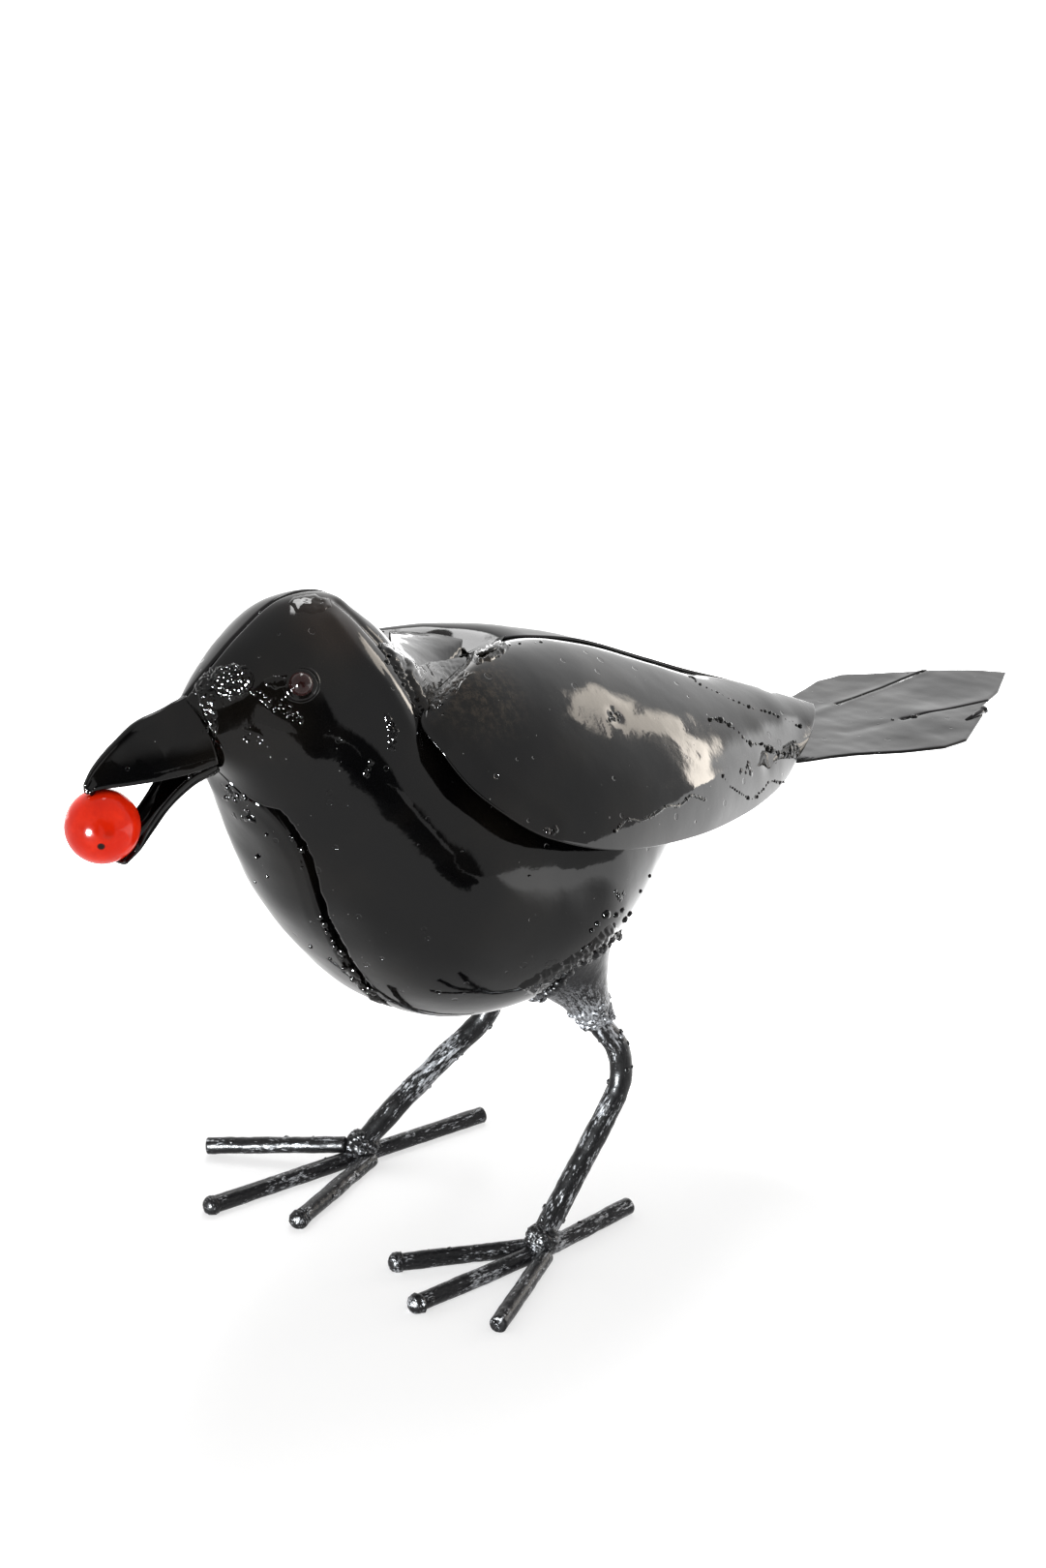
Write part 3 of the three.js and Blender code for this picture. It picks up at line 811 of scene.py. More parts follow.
def add_face_marks(m):
    """The rough weld between the eyes and the beak, and the runs of paint round it."""
    swirl = m.crust([(212, 704), (222, 688), (240, 683), (256, 688), (264, 702), (258, 718), (240, 726),
                     (222, 720)], 0.8, 0.42, 1.7, 201, 0.8)
    m.crust([(198, 708), (212, 690), (222, 700), (226, 730), (226, 760), (224, 790), (212, 788),
             (212, 750), (204, 730)], 0.5, 0.36, 1.5, 211, 0.8)
    m.crust([(268, 702), (282, 694), (300, 698), (302, 712), (286, 716), (272, 710)], 0.7, 0.05, 3, 231)
    m.patch([(256, 708), (300, 724), (316, 746), (298, 744), (262, 722)], 60, 0.3, 0.65, 0.3, 0.9, 0.3, GLINT)
    m.patch([(212, 726), (218, 724), (222, 740), (220, 768), (214, 766), (216, 744)], 34, 0.25, 0.5, 0.8, 0.5,
            0.25, GLINT)
    m.patch([(250, 756), (286, 764), (280, 778), (254, 774)], 16, 0.2, 0.4)
    m.beads([(259, 714), (272, 722), (286, 728), (300, 736), (312, 746)], 2.2, 0.5)
    glints = [(222, 702), (232, 690), (250, 689), (260, 700), (254, 712), (236, 716)]
    Marks(m.shape, swirl, m.rng).patch(glints, 280, 0.3, 0.7, 1.8, 0.45, 0.11, GLINT)
    m.patch([(200, 716), (206, 712), (212, 724), (206, 728)], 9, 0.4, 0.8, 1.0, 0.5, 0.3, GLINT)
    for pixels, radius in FACE_DRIPS:
        m.drip(pixels, radius)
    cheek = [(398, 738), (402, 740), (408, 754), (408, 768), (403, 777), (399, 775), (402, 760)]
    m.patch(cheek, 34, 0.5, 0.9, 1.0, 0.45, 0.1, GLINT)
    m.patch([(381, 784), (385, 787), (380, 803), (374, 802)], 16, 0.5, 0.8, 0.8, 0.45, 0.1, GLINT)
    for x, y in ((307, 680), (312, 679), (317, 680)):
        m.drip([(x, y - 3), (x + 1, y), (x + 2, y + 2)], 0.4)
    m.drip([(305, 687), (310, 686), (315, 688)], 0.45)


def add_eye_socket(shape, label):
    """A ring of weld round the eye, and the shallow dish that the bead sits in."""
    centre = np.array(EYE_CENTRES[label], float)
    tree = body_skins[label].tree
    nearest, normal = (np.array(v) for v in tree.find_nearest(Vector(centre))[:2])
    if normal[0] * centre[0] < 0:
        normal = -normal
    side = unit(np.cross(normal, [0, 0, 1]))
    other = np.cross(normal, side)
    ring = []
    for angle in np.linspace(0, 2 * np.pi, 61):
        reach = EYE_RING_RADIUS * (1 + 0.05 * math.sin(2 * angle + 1))
        place = centre + reach * (side * math.cos(angle) + other * math.sin(angle))
        ring.append(np.array(tree.find_nearest(Vector(place))[0]))
    ring = np.array(ring)
    shape.tube(ring - normal * 0.7, 1.05 * (1 + 0.12 * noise(ring, 3, 9)), 14)
    shape.ball(nearest - normal * 0.4, normal, EYE_RING_RADIUS, 1.3, np.random.RandomState(4), 10, 32, 0.01)


# The turned-down front of the far wing's sheet, in the picture: its upper and its lower rim
CORNER_TOP = [(402, 656), (420, 656), (440, 657), (460, 660), (478, 664)]
CORNER_LOW = [(406, 674), (420, 686), (438, 694), (458, 692), (476, 682)]
CORNER_LENGTH, CORNER_WIDTH = 60, 24


def add_corner_sheet(shape, skin):
    """The far wing's sheet comes down on the neck in a thin wrinkled fold."""
    across = np.linspace(0, 1, 90)
    down = np.linspace(0, 1, 60)
    top = wing_skins["right"].seen_all(*spline(CORNER_TOP, across).T)[0]
    low = skin.seen_all(*spline(CORNER_LOW, across).T)[0]
    middle = top[:, None] + (low - top)[:, None] * down[None, :, None]
    middle[..., 2] += 1.2 * np.sin(np.pi * down) + 0.7 * (1 - down)
    outward = grid_normals(middle)
    outward *= np.sign(outward[..., 2:3])
    relief = 0.16 * noise(middle * [1, 0.5, 1], 7, 291) + 0.03 * noise(middle, 2.6, 292)
    inward = np.minimum(np.minimum(across, 1 - across)[:, None] * CORNER_LENGTH,
                        np.minimum(down, 1 - down)[None] * CORNER_WIDTH)
    shape.sheet(middle, outward, rounded_half(inward), relief)


def mark_near_body(m):
    add_face_marks(m)
    # the end of the breast seam is folded over itself in rough plates
    m.patch([(352, 1000), (372, 1008), (396, 1034), (384, 1036), (360, 1020)], 26, 0.8, 1.8)
    m.beads([(300, 868), (306, 884), (316, 898)], 4, 0.9, 0.5, 0.8)
    m.beads([(330, 946), (338, 964), (348, 984), (362, 1004)], 3.5, 1.0, 0.5, 0.8)
    # dark star of weld and drops at the rear of the belly
    m.patch([(636, 918), (646, 916), (648, 928), (638, 930)], 14, 0.4, 0.9)
    m.drops([(627, 945, 1.6), (637, 945, 1.3), (643, 940, 1.2), (646, 950, 1.4), (651, 944, 1.1),
             (612, 962, 0.9), (618, 955, 1.0), (672, 905, 0.7), (662, 921, 0.8), (548, 905, 0.4)])
    # the weld over the top of the thigh
    m.crust([(530, 1020), (548, 1008), (580, 992), (606, 976), (632, 952), (642, 960), (620, 988),
             (584, 1008), (552, 1030)], 0.7, 0.6, 2.6, 251, 1.3)
    m.patch([(533, 1022), (545, 1012), (575, 998), (600, 985), (632, 958), (640, 962), (612, 990),
             (580, 1008), (552, 1026)], 30, 0.5, 1.3)
    # the nape's opening ends in a rough weld
    m.crust([(396, 664), (414, 672), (440, 700), (462, 722), (446, 744), (428, 728), (410, 700)],
            0.5, 0.35, 2.6, 241, 1.2)
    # weld fills the corner between the neck and both wings
    m.crust([(414, 676), (430, 686), (452, 680), (478, 676), (492, 686), (482, 704), (462, 726), (446, 746),
             (432, 732), (416, 700)], 1.7, 0.17, 3.0, 246, 1.3)
    add_corner_sheet(m.shape, m.skin)
    m.patch([(404, 672), (420, 690), (448, 720), (446, 738), (424, 716), (400, 684)], 26, 0.4, 1.0)
    m.beads([(252, 642), (264, 633), (282, 626)], 4, 0.7, 0.6, 0.7)
    # the crown is a little rough
    m.crust([(288, 624), (302, 613), (322, 610), (342, 616), (348, 630), (334, 640), (306, 642)],
            0.75, 0.13, 3.0, 296, 1.3, 9)


def mark_far_body(m):
    m.crust([(398, 652), (420, 660), (450, 664), (484, 662), (488, 684), (450, 686), (412, 682)],
            4.2, 0.35, 4.0, 248, 1.3)
    m.patch([(228, 806), (250, 812), (266, 850), (240, 846)], 30, 0.3, 1.1)
    m.drops([(235, 814, 1.2), (243, 827, 1.2), (250, 843, 0.7), (275, 863, 0.7), (265, 886, 0.8),
             (276, 906, 0.7), (321, 978, 1.0), (341, 991, 0.8), (264, 911, 0.7), (291, 959, 0.8)])


def make_body(label, paint):
    shape = Shape()
    add_body_shell(shape, label)
    add_eye_socket(shape, label)
    if label == "left":
        mark_near_body(Marks(shape, body_skins[label], np.random.RandomState(41)))
    else:
        mark_far_body(Marks(shape, body_skins[label], np.random.RandomState(42)))
    shape.piece(f"{label}_body_shell", f"body_{label}", "gloss_black", paint)


def make_eye(label, material):
    shape = Shape()
    axis = unit(np.array([SIDES[label], -0.2, 0.3]))
    shape.ball(EYE_CENTRES[label], axis, EYE_RADIUS, EYE_RADIUS, np.random.RandomState(7), 24, 40, 0.004)
    shape.piece(f"{label}_eye_bead", f"eye_{label}", "eye_bead", material)


# The wings
def wing_surface(u, v, label):
    """A wing's middle surface, from its front, u 0, to the tail, and from the seam, v 0, to its free edge."""
    seam = spline(WING_SEAM, u)
    edge = spline(WING_EDGE, u)
    angle = WING_ARC * v
    out = np.sin(angle) / math.sin(WING_ARC)
    fall = (1 - np.cos(angle)) / (1 - math.cos(WING_ARC))
    height, place = WING_HUMPS[label]
    rise = height * hump(u - place, HUMP_SPREAD) * np.sin(np.pi * v)
    start = SHEET / 2 + GAP
    x = SIDES[label] * (start + (edge[..., 0] - start) * out)
    y = seam[..., 1] + (edge[..., 1] - seam[..., 1]) * (out + fall) / 2
    z = seam[..., 2] + (edge[..., 2] - seam[..., 2]) * fall + rise
    return np.stack([x, y, z], -1)


WING_DENTS = {
    "left": [
        (520, 740, 16, 0.4), (560, 800, 14, -0.3), (635, 740, 3, -0.4), (470, 740, 9, -0.4),
        (792, 786, 4, -0.5), (800, 730, 8, 0.3), (775, 755, 7, -0.3),
    ],
    "right": [(440, 652, 7, 0.3), (470, 655, 5, -0.25), (420, 660, 4, 0.2), (500, 650, 7, 0.25),
              (545, 652, 8, -0.2)],
}
# The near wing's rim is pressed in along this line of the picture
RIM_LINE = [(450, 743), (500, 817), (560, 857)]
WING_BEADS = [
    ([(710, 697), (724, 707), (743, 716), (755, 722), (773, 730), (794, 736), (813, 744), (827, 750)],
     2.4, 0.7),
    ([(734, 743), (748, 745), (764, 757), (771, 765), (787, 770), (802, 777), (823, 783)], 2.2, 1.0),
    ([(747, 802), (756, 813), (770, 822), (776, 826), (785, 820), (796, 808), (810, 808)], 2.0, 0.6),
    ([(520, 669), (534, 665), (548, 664), (560, 664)], 3.2, 0.9, 0.4, 0.5),
]
WING_PATCHES = [
    ([(436, 712), (470, 700), (474, 712), (446, 738)], 30, 0.3, 0.8),
    ([(765, 788), (779, 788), (779, 799), (765, 799)], 10, 0.4, 0.9),
    ([(817, 770), (826, 770), (826, 784), (817, 784)], 8, 0.9, 1.5),
    ([(562, 853), (576, 853), (576, 862), (562, 862)], 9, 0.5, 1.0),
    ([(628, 736), (642, 736), (642, 744), (628, 744)], 10, 0.4, 0.8),
]
WING_CRACK = [
    (636, 859), (648, 847), (662, 848), (674, 843), (688, 834), (703, 832), (715, 822), (728, 826),
]


def press_on_body(points, u, label):
    """Brings the front top of a wing's rim down on the shell, where it is welded to the neck."""
    edge = spline(WING_EDGE, np.linspace(0, 1, 200)) * [SIDES[label], 1, 1]
    front = np.vstack([WING_SEAM[0], edge[:60]])
    weight = smoothstep(PRESSED_RIMS[label], 1.0, line_distance(points, front)[0]) * smoothstep(0.26, 0.14, u)
    moved = points.copy()
    for i, j in zip(*np.nonzero(weight > 0.01)):
        place, normal = body_skins[label].tree.find_nearest(Vector(points[i, j]))[:2]
        if normal.z < 0:
            normal = -normal
        moved[i, j] += (np.array(place + normal * 0.5) - points[i, j]) * weight[i, j]
    return moved


def wing_relief(points, u, v, label):
    skin = wing_skins[label]
    relief = waves(points, WING_SEEDS[label], WING_WAVES[label]) * smoothstep(0, 0.1, v)
    relief += dents(points, skin, WING_DENTS[label])
    if label == "left":
        relief -= 0.6 * smoothstep(9, 2, line_distance(points, skin.line(RIM_LINE, 4)[0])[0])
    # both sheets dip towards the seam they share
    dip = WING_DIPS[label] * hump(points[..., 0], 6)
    return relief - dip * smoothstep(0.1, 0.32, u) * smoothstep(0.74, 0.56, u)


def add_wing_marks(m):
    for beads in WING_BEADS:
        m.beads(*beads)
    m.crust([(440, 700), (462, 684), (486, 686), (492, 698), (470, 716), (452, 736), (440, 744), (434, 722)],
            0.2, 0.35, 2.0, 261, 1.0, 10)
    m.crust([(474, 684), (486, 668), (512, 658), (530, 664), (524, 678), (498, 688)], 0.6, 0.6, 2.4, 271)
    for patch in WING_PATCHES:
        m.patch(*patch)
    m.drip(WING_CRACK, 0.5, 0.0)
    m.beads(WING_CRACK, 0.8, 0.5, -0.2, 0.2, SIDE_GLINT, 0.35)
    m.drip([(710, 698), (716, 700), (722, 705)], 1.0)
    m.drip([(476, 702), (484, 698), (492, 694)], 0.6)
    add_flap(m.shape, m.skin, [(481, 676), (498, 660), (520, 660), (512, 674), (494, 682)], 1.6)


def add_flap(shape, skin, outline, lift):
    """A small plate of sheet lying over the seam, a little domed."""
    corners = np.array([skin.seen(px, py)[0] for px, py in outline])
    normal = np.array([0.25, 0.1, 0.96])
    centre = corners.mean(0) + normal * lift
    corners = corners + normal * lift * 0.9
    points = np.vstack([corners + normal * 0.5, corners - normal * 0.6, centre + normal * 0.9,
                        centre - normal * 0.6])
    count = len(corners)
    k = np.arange(count)
    after = (k + 1) % count
    top = np.stack([k, after, np.full(count, 2 * count)], -1)
    low = np.stack([after + count, k + count, np.full(count, 2 * count + 1)], -1)
    walls = np.stack([k, k + count, after + count, after], -1)
    shape.add(points, walls, np.vstack([top, low]))


def make_wing(label, paint):
    def surface(u, v):
        return wing_surface(u, v, label)

    points, inward, u, v = sheet_grid(surface, WING_ROWS, WING_COLUMNS, WING_LENGTH)
    points = press_on_body(points, u, label)
    outward = -SIDES[label] * grid_normals(points)
    relief = wing_relief(points, u, v, label)
    shape = Shape()
    shape.sheet(points, outward, rounded_half(inward), relief)
    if label == "left":
        over = points + outward * (relief + SHEET / 2)[..., None]
        add_wing_marks(Marks(shape, Skin(over[::2, ::2]), np.random.RandomState(51)))
    shape.piece(f"{label}_wing_sheet", f"wing_{label}", "gloss_black", paint)


# The tail
def side_line(table, y):
    """How far out one side of the tail is, at each y."""
    return np.interp(y, *np.array(table, float).T[::-1])


def slit_side(slit, which, y):
    """One side of a slit at each y, -1 or 1, kept inside the tail. The sides meet where it starts."""
    (x0, y0), (x1, y1) = slit
    middle = x0 + (x1 - x0) * (y - y0) / (y1 - y0)
    open_by = SLIT_WIDTH / 2 * smoothstep(y0 - 2, y0 + 5, y)
    return np.clip(middle + which * open_by, side_line(TAIL_FAR_SIDE, y), side_line(TAIL_NEAR_SIDE, y))


def tail_strip(low, high, y):
    """The points of one strip of the tail between its two sides at each y, with z as 0."""
    width = np.maximum(high - low, 0.02)
    share = edge_spaced(STRIP_COLUMNS, np.minimum(SHEET / 2 / width, 0.09))
    x = low[:, None] + width[:, None] * share
    return np.stack(np.broadcast_arrays(x, y[:, None], 0.0), -1)


def tail_lift(p):
    """How far the tail's middle surface stands above its flat height."""
    x, y = p[..., 0], p[..., 1]
    far_curl = 1.6 * smoothstep(150, 205, y) * smoothstep(10, -20, x)
    near_droop = -1.0 * smoothstep(120, 165, y) * smoothstep(15, 38, x)
    lift = waves(p, 61, TAIL_WAVES) * smoothstep(72, 90, y) + far_curl + near_droop
    for line, height, width in TAIL_LINES:
        lift = lift + height * hump(line_distance(p, line)[0], width)
    return lift


def tail_inward(p):
    """How far inside the tail's outline and its slits each point is."""
    outline = flat(TAIL_FAR_SIDE + TAIL_NEAR_SIDE[::-1] + TAIL_FAR_SIDE[:1])
    inward = line_distance(p, outline)[0]
    for slit in TAIL_SLITS:
        start, end = np.array(flat(slit), float)
        gap = line_distance(p, [start, end + 0.2 * (end - start)])[0] - SLIT_WIDTH / 2
        inward = np.minimum(inward, np.maximum(gap, 0))
    return inward


def make_tail(paint):
    length = TAIL_END - TAIL_START
    y = TAIL_START + length * edge_spaced(TAIL_ROWS, SHEET / 2 / length)[0]
    sides = [side_line(TAIL_FAR_SIDE, y)]
    for slit in TAIL_SLITS:
        sides += [slit_side(slit, -1, y), slit_side(slit, 1, y)]
    sides.append(side_line(TAIL_NEAR_SIDE, y))
    shape = Shape()
    rng = np.random.RandomState(63)
    strips = []
    for low, high in zip(sides[::2], sides[1::2]):
        middle = tail_strip(low, high, y)
        half = rounded_half(tail_inward(middle))
        middle[..., 2] = TAIL_HEIGHT + tail_lift(middle)
        shape.sheet(middle, np.array([0, 0, 1.0]), half)
        strips.append(Marks(shape, Skin(middle), rng))
    far, central, near = strips
    central.beads([(898, 752), (912, 748), (930, 744), (948, 740)], 2.2, 1.0, 0.5, 0.6)
    far.beads([(938, 697), (948, 696), (957, 696)], 2.0, 0.9, 0.4)
    near.beads([(856, 776), (880, 774), (905, 768)], 5, 0.4)
    # the end of a bar curls out of the near slit
    tip = near.skin.seen(1020, 733)[0]
    curl = tip + np.array([[2.5, -12, 0.2], [1, -5, 0.8], [0, 0, 1.0], [-1.2, 1.6, 1.6]])
    shape.tube(curl, [0.9, 1.1, 1.2, 1.0], 12)
    shape.ball(tip + [0, 0.4, 1.2], [0.6, -0.4, 0.7], 1.5, 1.3, rng)
    shape.piece("tail_sheet", "tail", "gloss_black", paint)


# The beak
def reaching(points, u, extra=0.035):
    """A beak's guide curve, drawn on past its start so that the sheet runs into the head."""
    place = u * (1 + extra) - extra
    slope = (spline(points, np.array([0.0])) - spline(points, np.array([0.02]))) / 0.02
    return spline(points, place) + slope * np.maximum(-place, 0)[..., None]


def upper_beak_surface(u, v):
    """The folded channel from rim to rim, over the ridge at v 0.5."""
    ridge = reaching(UPPER_RIDGE, u)
    rim = reaching(UPPER_RIM, u)
    across = 2 * v - 1
    point = ridge + (rim - ridge) * np.abs(across)[..., None]
    point[..., 0] = rim[..., 0] * np.sin(across * np.pi / 2)
    return point


def lower_beak_surface(u, v):
    """The curved trough from rim to rim, round the keel at v 0.5."""
    keel = reaching(LOWER_KEEL, u)
    rim = reaching(LOWER_RIM, u)
    angle = (2 * v - 1) * np.pi / 2
    point = keel + (rim - keel) * (1 - np.cos(angle))[..., None]
    point[..., 0] = rim[..., 0] * np.sin(angle)
    return point


def beak_grid(surface, rows, columns, up):
    """A beak sheet's points, its normals, upward or downward in its middle, half thickness and shares."""
    points, inward, u, v = sheet_grid(surface, rows, columns, widest=BEAK_EDGE)
    outward = grid_normals(points)
    outward *= up * np.sign(outward[rows // 2, columns // 2, 2])
    return points, outward, rounded_half(inward), u, v


def make_upper_beak(paint):
    points, outward, half, u, v = beak_grid(upper_beak_surface, *UPPER_GRID, 1)
    relief = waves(points, 81, UPPER_WAVES)
    relief += 0.5 * hump(np.abs(2 * v - 1), 0.07) * smoothstep(0.0, 0.15, u)
    relief *= smoothstep(0, 0.05, 1 - u)
    shape = Shape()
    shape.sheet(points, outward, half, relief)
    m = Marks(shape, Skin(points), np.random.RandomState(83))
    m.beads([(188, 722), (172, 735), (150, 744), (128, 759), (112, 779), (98, 797), (90, 808)],
            1.8, 0.55, 0.4, 0.35)
    m.crust([(190, 724), (200, 716), (214, 734), (219, 786), (208, 790), (202, 750)], 0.3, 0.4, 1.8, 281)
    m.patch([(192, 722), (200, 716), (212, 734), (215, 782), (210, 784), (206, 745)], 26, 0.4, 0.9)
    m.patch([(88, 806), (97, 800), (96, 822), (89, 820)], 10, 0.5, 0.9)
    m.beads([(144, 788), (156, 790), (172, 784)], 4.5, 0.35)
    shape.piece("upper_beak_sheet", "upper_beak", "gloss_black", paint)


def make_lower_beak(paint):
    points, outward, half = beak_grid(lower_beak_surface, *LOWER_GRID, -1)[:3]
    shape = Shape()
    shape.sheet(points, outward, half, waves(points, 85, LOWER_WAVES))
    m = Marks(shape, Skin(points), np.random.RandomState(86))
    m.patch([(122, 886), (146, 868), (148, 876), (136, 890)], 16, 0.5, 1.1)
    m.patch([(196, 800), (220, 796), (220, 806), (200, 810)], 14, 0.4, 0.9)
    shape.piece("lower_beak_sheet", "lower_beak", "gloss_black", paint)


# Where the picture shows the pit of the berry's stalk and a darker spot beside it
STALK_PIXEL = (104.5, 875)
SPOT_PIXEL = (112, 863)


def berry_mark(px, py):
    """The direction from the berry's centre to where the picture shows a mark on it."""
    start, ray = picture_line(px, py)
    centre = Vector(BERRY_CENTRE)
    closest = start + ray * (centre - start).dot(ray)
    depth = math.sqrt(max(BERRY_RADIUS**2 - (closest - centre).length_squared, 0))
    return np.array((closest - ray * depth - centre).normalized())


def berry_surface(way):
    """The berry's surface in each direction, with a small pit where its stalk would be."""
    size = BERRY_RADIUS * (1 + 0.006 * noise(way * 10, 6, 91))
    size = size - 0.7 * hump(np.linalg.norm(way - berry_mark(*STALK_PIXEL), axis=-1), 0.07)
    return np.array(BERRY_CENTRE) + way * size[..., None]


def make_berry(material):
    rings, sides = 60, 90
    polar = np.pi * np.arange(1, rings) / rings
    turn = 2 * np.pi * np.arange(sides) / sides
    p, t = np.meshgrid(polar, turn, indexing="ij")
    way = np.stack([np.sin(p) * np.cos(t), np.sin(p) * np.sin(t), np.cos(p)], -1)
    shape = Shape()
    shape.add_rings(berry_surface(way), berry_surface(np.array([[0, 0, 1.0], [0, 0, -1.0]])))
    shape.piece("berry_ball", "berry", "gloss_red", material)


# The legs
def cut_ends(path, radius):
    """Adds the chamfered rings of a bar's two sawn ends, and returns the path and its radii."""
    radii = np.r_[radius * 0.6, radius * 0.93, np.full(len(path), float(radius)), radius * 0.93, radius * 0.6]
    end = unit(path[-1] - path[-2])
    start = unit(path[0] - path[1])
    path = np.vstack([path[0] + start * 0.45, path[0] + start * 0.35, path,
                      path[-1] + end * 0.35, path[-1] + end * 0.45])
    return path, radii


def make_toe(label, kind, seed, material):
    is_long = kind == "long"
    path = spline(LEGS[label][kind], np.linspace(0, 1, 90 if is_long else 60))
    path[:, 2] += TOE_HEIGHT
    shape = Shape()
    rng = np.random.RandomState(seed)
    path, radii = cut_ends(path, TOE_RADIUS)
    shape.tube(path, radii, 26, lambda points: waves(points, seed, TOE_WAVES), 0.0)
    tip = path[2]
    step = unit(path[0] - tip)
    if kind != "outer":
        # the end of the bar is melted into a button with a collar
        shape.ball(tip - step * 1.2, step, TOE_RADIUS * 1.18, TOE_RADIUS, rng, 14, 26, 0.03)
        collar = tip - step * 2.6 + 0.4 * rng.normal(size=3)
        shape.ball(collar, step, TOE_RADIUS * 1.08, 1.1, rng, 10, 22, 0.05)
    shape.lumps(path, (4, len(path) - 4), TOE_RADIUS, 10 if is_long else 7, 0.35, 0.9, 1.3, rng, 1)
    shape.piece(f"{label}_{kind}_toe_bar", f"{kind}_toe_{label}", "brushed_silver_black", material, 0.0)


def make_leg(label, seed, material):
    path = spline(LEGS[label]["path"], np.linspace(0, 1, 150))
    shape = Shape()
    rng = np.random.RandomState(seed)
    shape.tube(path, LEG_RADIUS, 32, lambda points: waves(points, seed, LEG_WAVES), 0.0)
    foot = np.array([*LEGS[label]["path"][0][:2], WELD_HEIGHT], float)
    shape.ball(foot, [0, 0, 1.0], LEG_RADIUS * 1.4, LEG_RADIUS * 1.35, rng, 14, 24, 0.06)
    for _ in range(44):
        out = rng.normal(size=3)
        out[2] = abs(out[2]) * 0.9
        out = unit(out)
        size = rng.uniform(0.8, 1.9)
        place = foot + out * (LEG_RADIUS * 1.4 - 0.5 * size)
        shape.ball(place, out, size * rng.uniform(1, 1.5), size, rng)
    shape.lumps(path, (6, len(path) - 30), LEG_RADIUS, 26, 0.35, 0.95, 1.4, rng)
    shape.piece(f"{label}_leg_bar", f"leg_{label}", "brushed_silver_black", material, 0.0)


def make_thigh(label, seed, material):
    """The cone of sheet that flares from the bar to the belly, with welds at both its ends."""
    bottom = np.array(LEGS[label]["path"][-2], float)
    axis = unit(np.array(LEGS[label]["hip"], float) - bottom)
    heights, radii = spline(flat(THIGH_PROFILE), np.linspace(0, 1, 70))[:, :2].T
    path = np.vstack([bottom - axis * 1.2, bottom - axis * 0.7, bottom + axis * heights[:, None]])
    shape = Shape()
    rng = np.random.RandomState(seed)
    shape.tube(path, np.r_[LEG_RADIUS + 0.2, LEG_RADIUS + 1.1, radii], 72,
               lambda points: waves(points, seed, THIGH_WAVES))
    across = frames_along(path)[0][0]
    other = np.cross(axis, across)
    low_end, high_end = (2, 6.2), THIGH_PROFILE[-1]
    for k in range(90):
        turn = 2 * np.pi * k / 90
        out = across * math.cos(turn) + other * math.sin(turn)
        start, end = (bottom + axis * height + out * reach for height, reach in (low_end, high_end))
        hit = body_skins[label].tree.ray_cast(Vector(start), Vector(end - start), 60)[0]
        if hit is None:
            continue
        size = rng.uniform(0.9, 2.0)
        place = np.array(hit) + rng.normal(size=3) * 0.7
        shape.ball(place + out * 0.3, out * 0.6 - axis * 0.6, size * 1.3, size, rng)
    for _ in range(60):
        turn = rng.uniform(0, 2 * np.pi)
        out = across * math.cos(turn) + other * math.sin(turn)
        rise = rng.uniform(-1, 7)
        size = rng.uniform(0.5, 1.5)
        reach = np.interp(rise, *zip(*THIGH_PROFILE))
        shape.ball(bottom + axis * rise + out * (reach - 0.4 * size), out, size * 1.2, size, rng)
    shape.piece(f"{label}_thigh_cone", f"thigh_{label}", "brushed_silver_black", material)


# Materials
class Nodes:
    """Short calls for building a node tree."""

    def __init__(self, tree):
        self.tree = tree

    def put(self, socket, value):
        if isinstance(value, bpy.types.NodeSocket):
            self.tree.links.new(value, socket)
        else:
            socket.default_value = value

    def fill(self, node, inputs):
        for key, value in inputs.items():
            self.put(node.inputs[key], value)
        return node

    def add(self, kind, inputs=None, **settings):
        node = self.tree.nodes.new(kind)
        for key, value in settings.items():
            setattr(node, key, value)
        return self.fill(node, inputs or {})

    def math(self, operation, a, b=0.0, c=0.0):
        return self.add("ShaderNodeMath", {0: a, 1: b, 2: c}, operation=operation).outputs[0]

    def product(self, first, *others):
        for value in others:
            first = self.math("MULTIPLY", first, value)
        return first

    def scaled(self, vector, scales):
        return self.add("ShaderNodeVectorMath", {0: vector, 1: scales}, operation="MULTIPLY").outputs[0]

    def ramp(self, value, low, high, start=0.0, end=1.0):
        inputs = {0: value, 1: low, 2: high, 3: start, 4: end}
        return self.add("ShaderNodeMapRange", inputs, interpolation_type="SMOOTHSTEP").outputs[0]

    def mix(self, share, a, b):
        return self.fill(self.add("ShaderNodeMix", data_type="RGBA"), {0: share, 6: a, 7: b}).outputs[2]

    def place(self):
        """The point of the surface in metres."""
        return self.add("ShaderNodeTexCoord").outputs["Object"]

    def noise(self, vector, scale, detail=2.0, rough=0.5):
        inputs = {"Vector": vector, "Scale": scale, "Detail": detail, "Roughness": rough}
        return self.add("ShaderNodeTexNoise", inputs).outputs[0]

    def spots(self, vector, scale, size):
        """1 in small round spots, one to most cells, else 0."""
        cell = self.add("ShaderNodeTexVoronoi", {"Vector": vector, "Scale": scale})
        chance = self.add("ShaderNodeSeparateColor", {0: cell.outputs["Color"]}).outputs[0]
        outside = self.math("SUBTRACT", cell.outputs["Distance"], self.product(chance, size))
        return self.ramp(outside, 0.02, 0, 0, 1)

    def near(self, centre, radius, soft):
        """1 within radius millimetres of a drawing point, falling to 0 over soft millimetres."""
        middle = tuple((np.array(centre) + SHIFT) * MM)
        gap = self.add("ShaderNodeVectorMath", {0: self.place(), 1: middle}, operation="DISTANCE")
        return self.ramp(gap.outputs["Value"], (radius + soft) * MM, radius * MM, 0, 1)

    def bump(self, height, distance, strength=1.0, normal=None):
        node = self.add("ShaderNodeBump", {"Height": height, "Distance": distance, "Strength": strength})
        if normal is not None:
            self.put(node.inputs["Normal"], normal)
        return node.outputs[0]


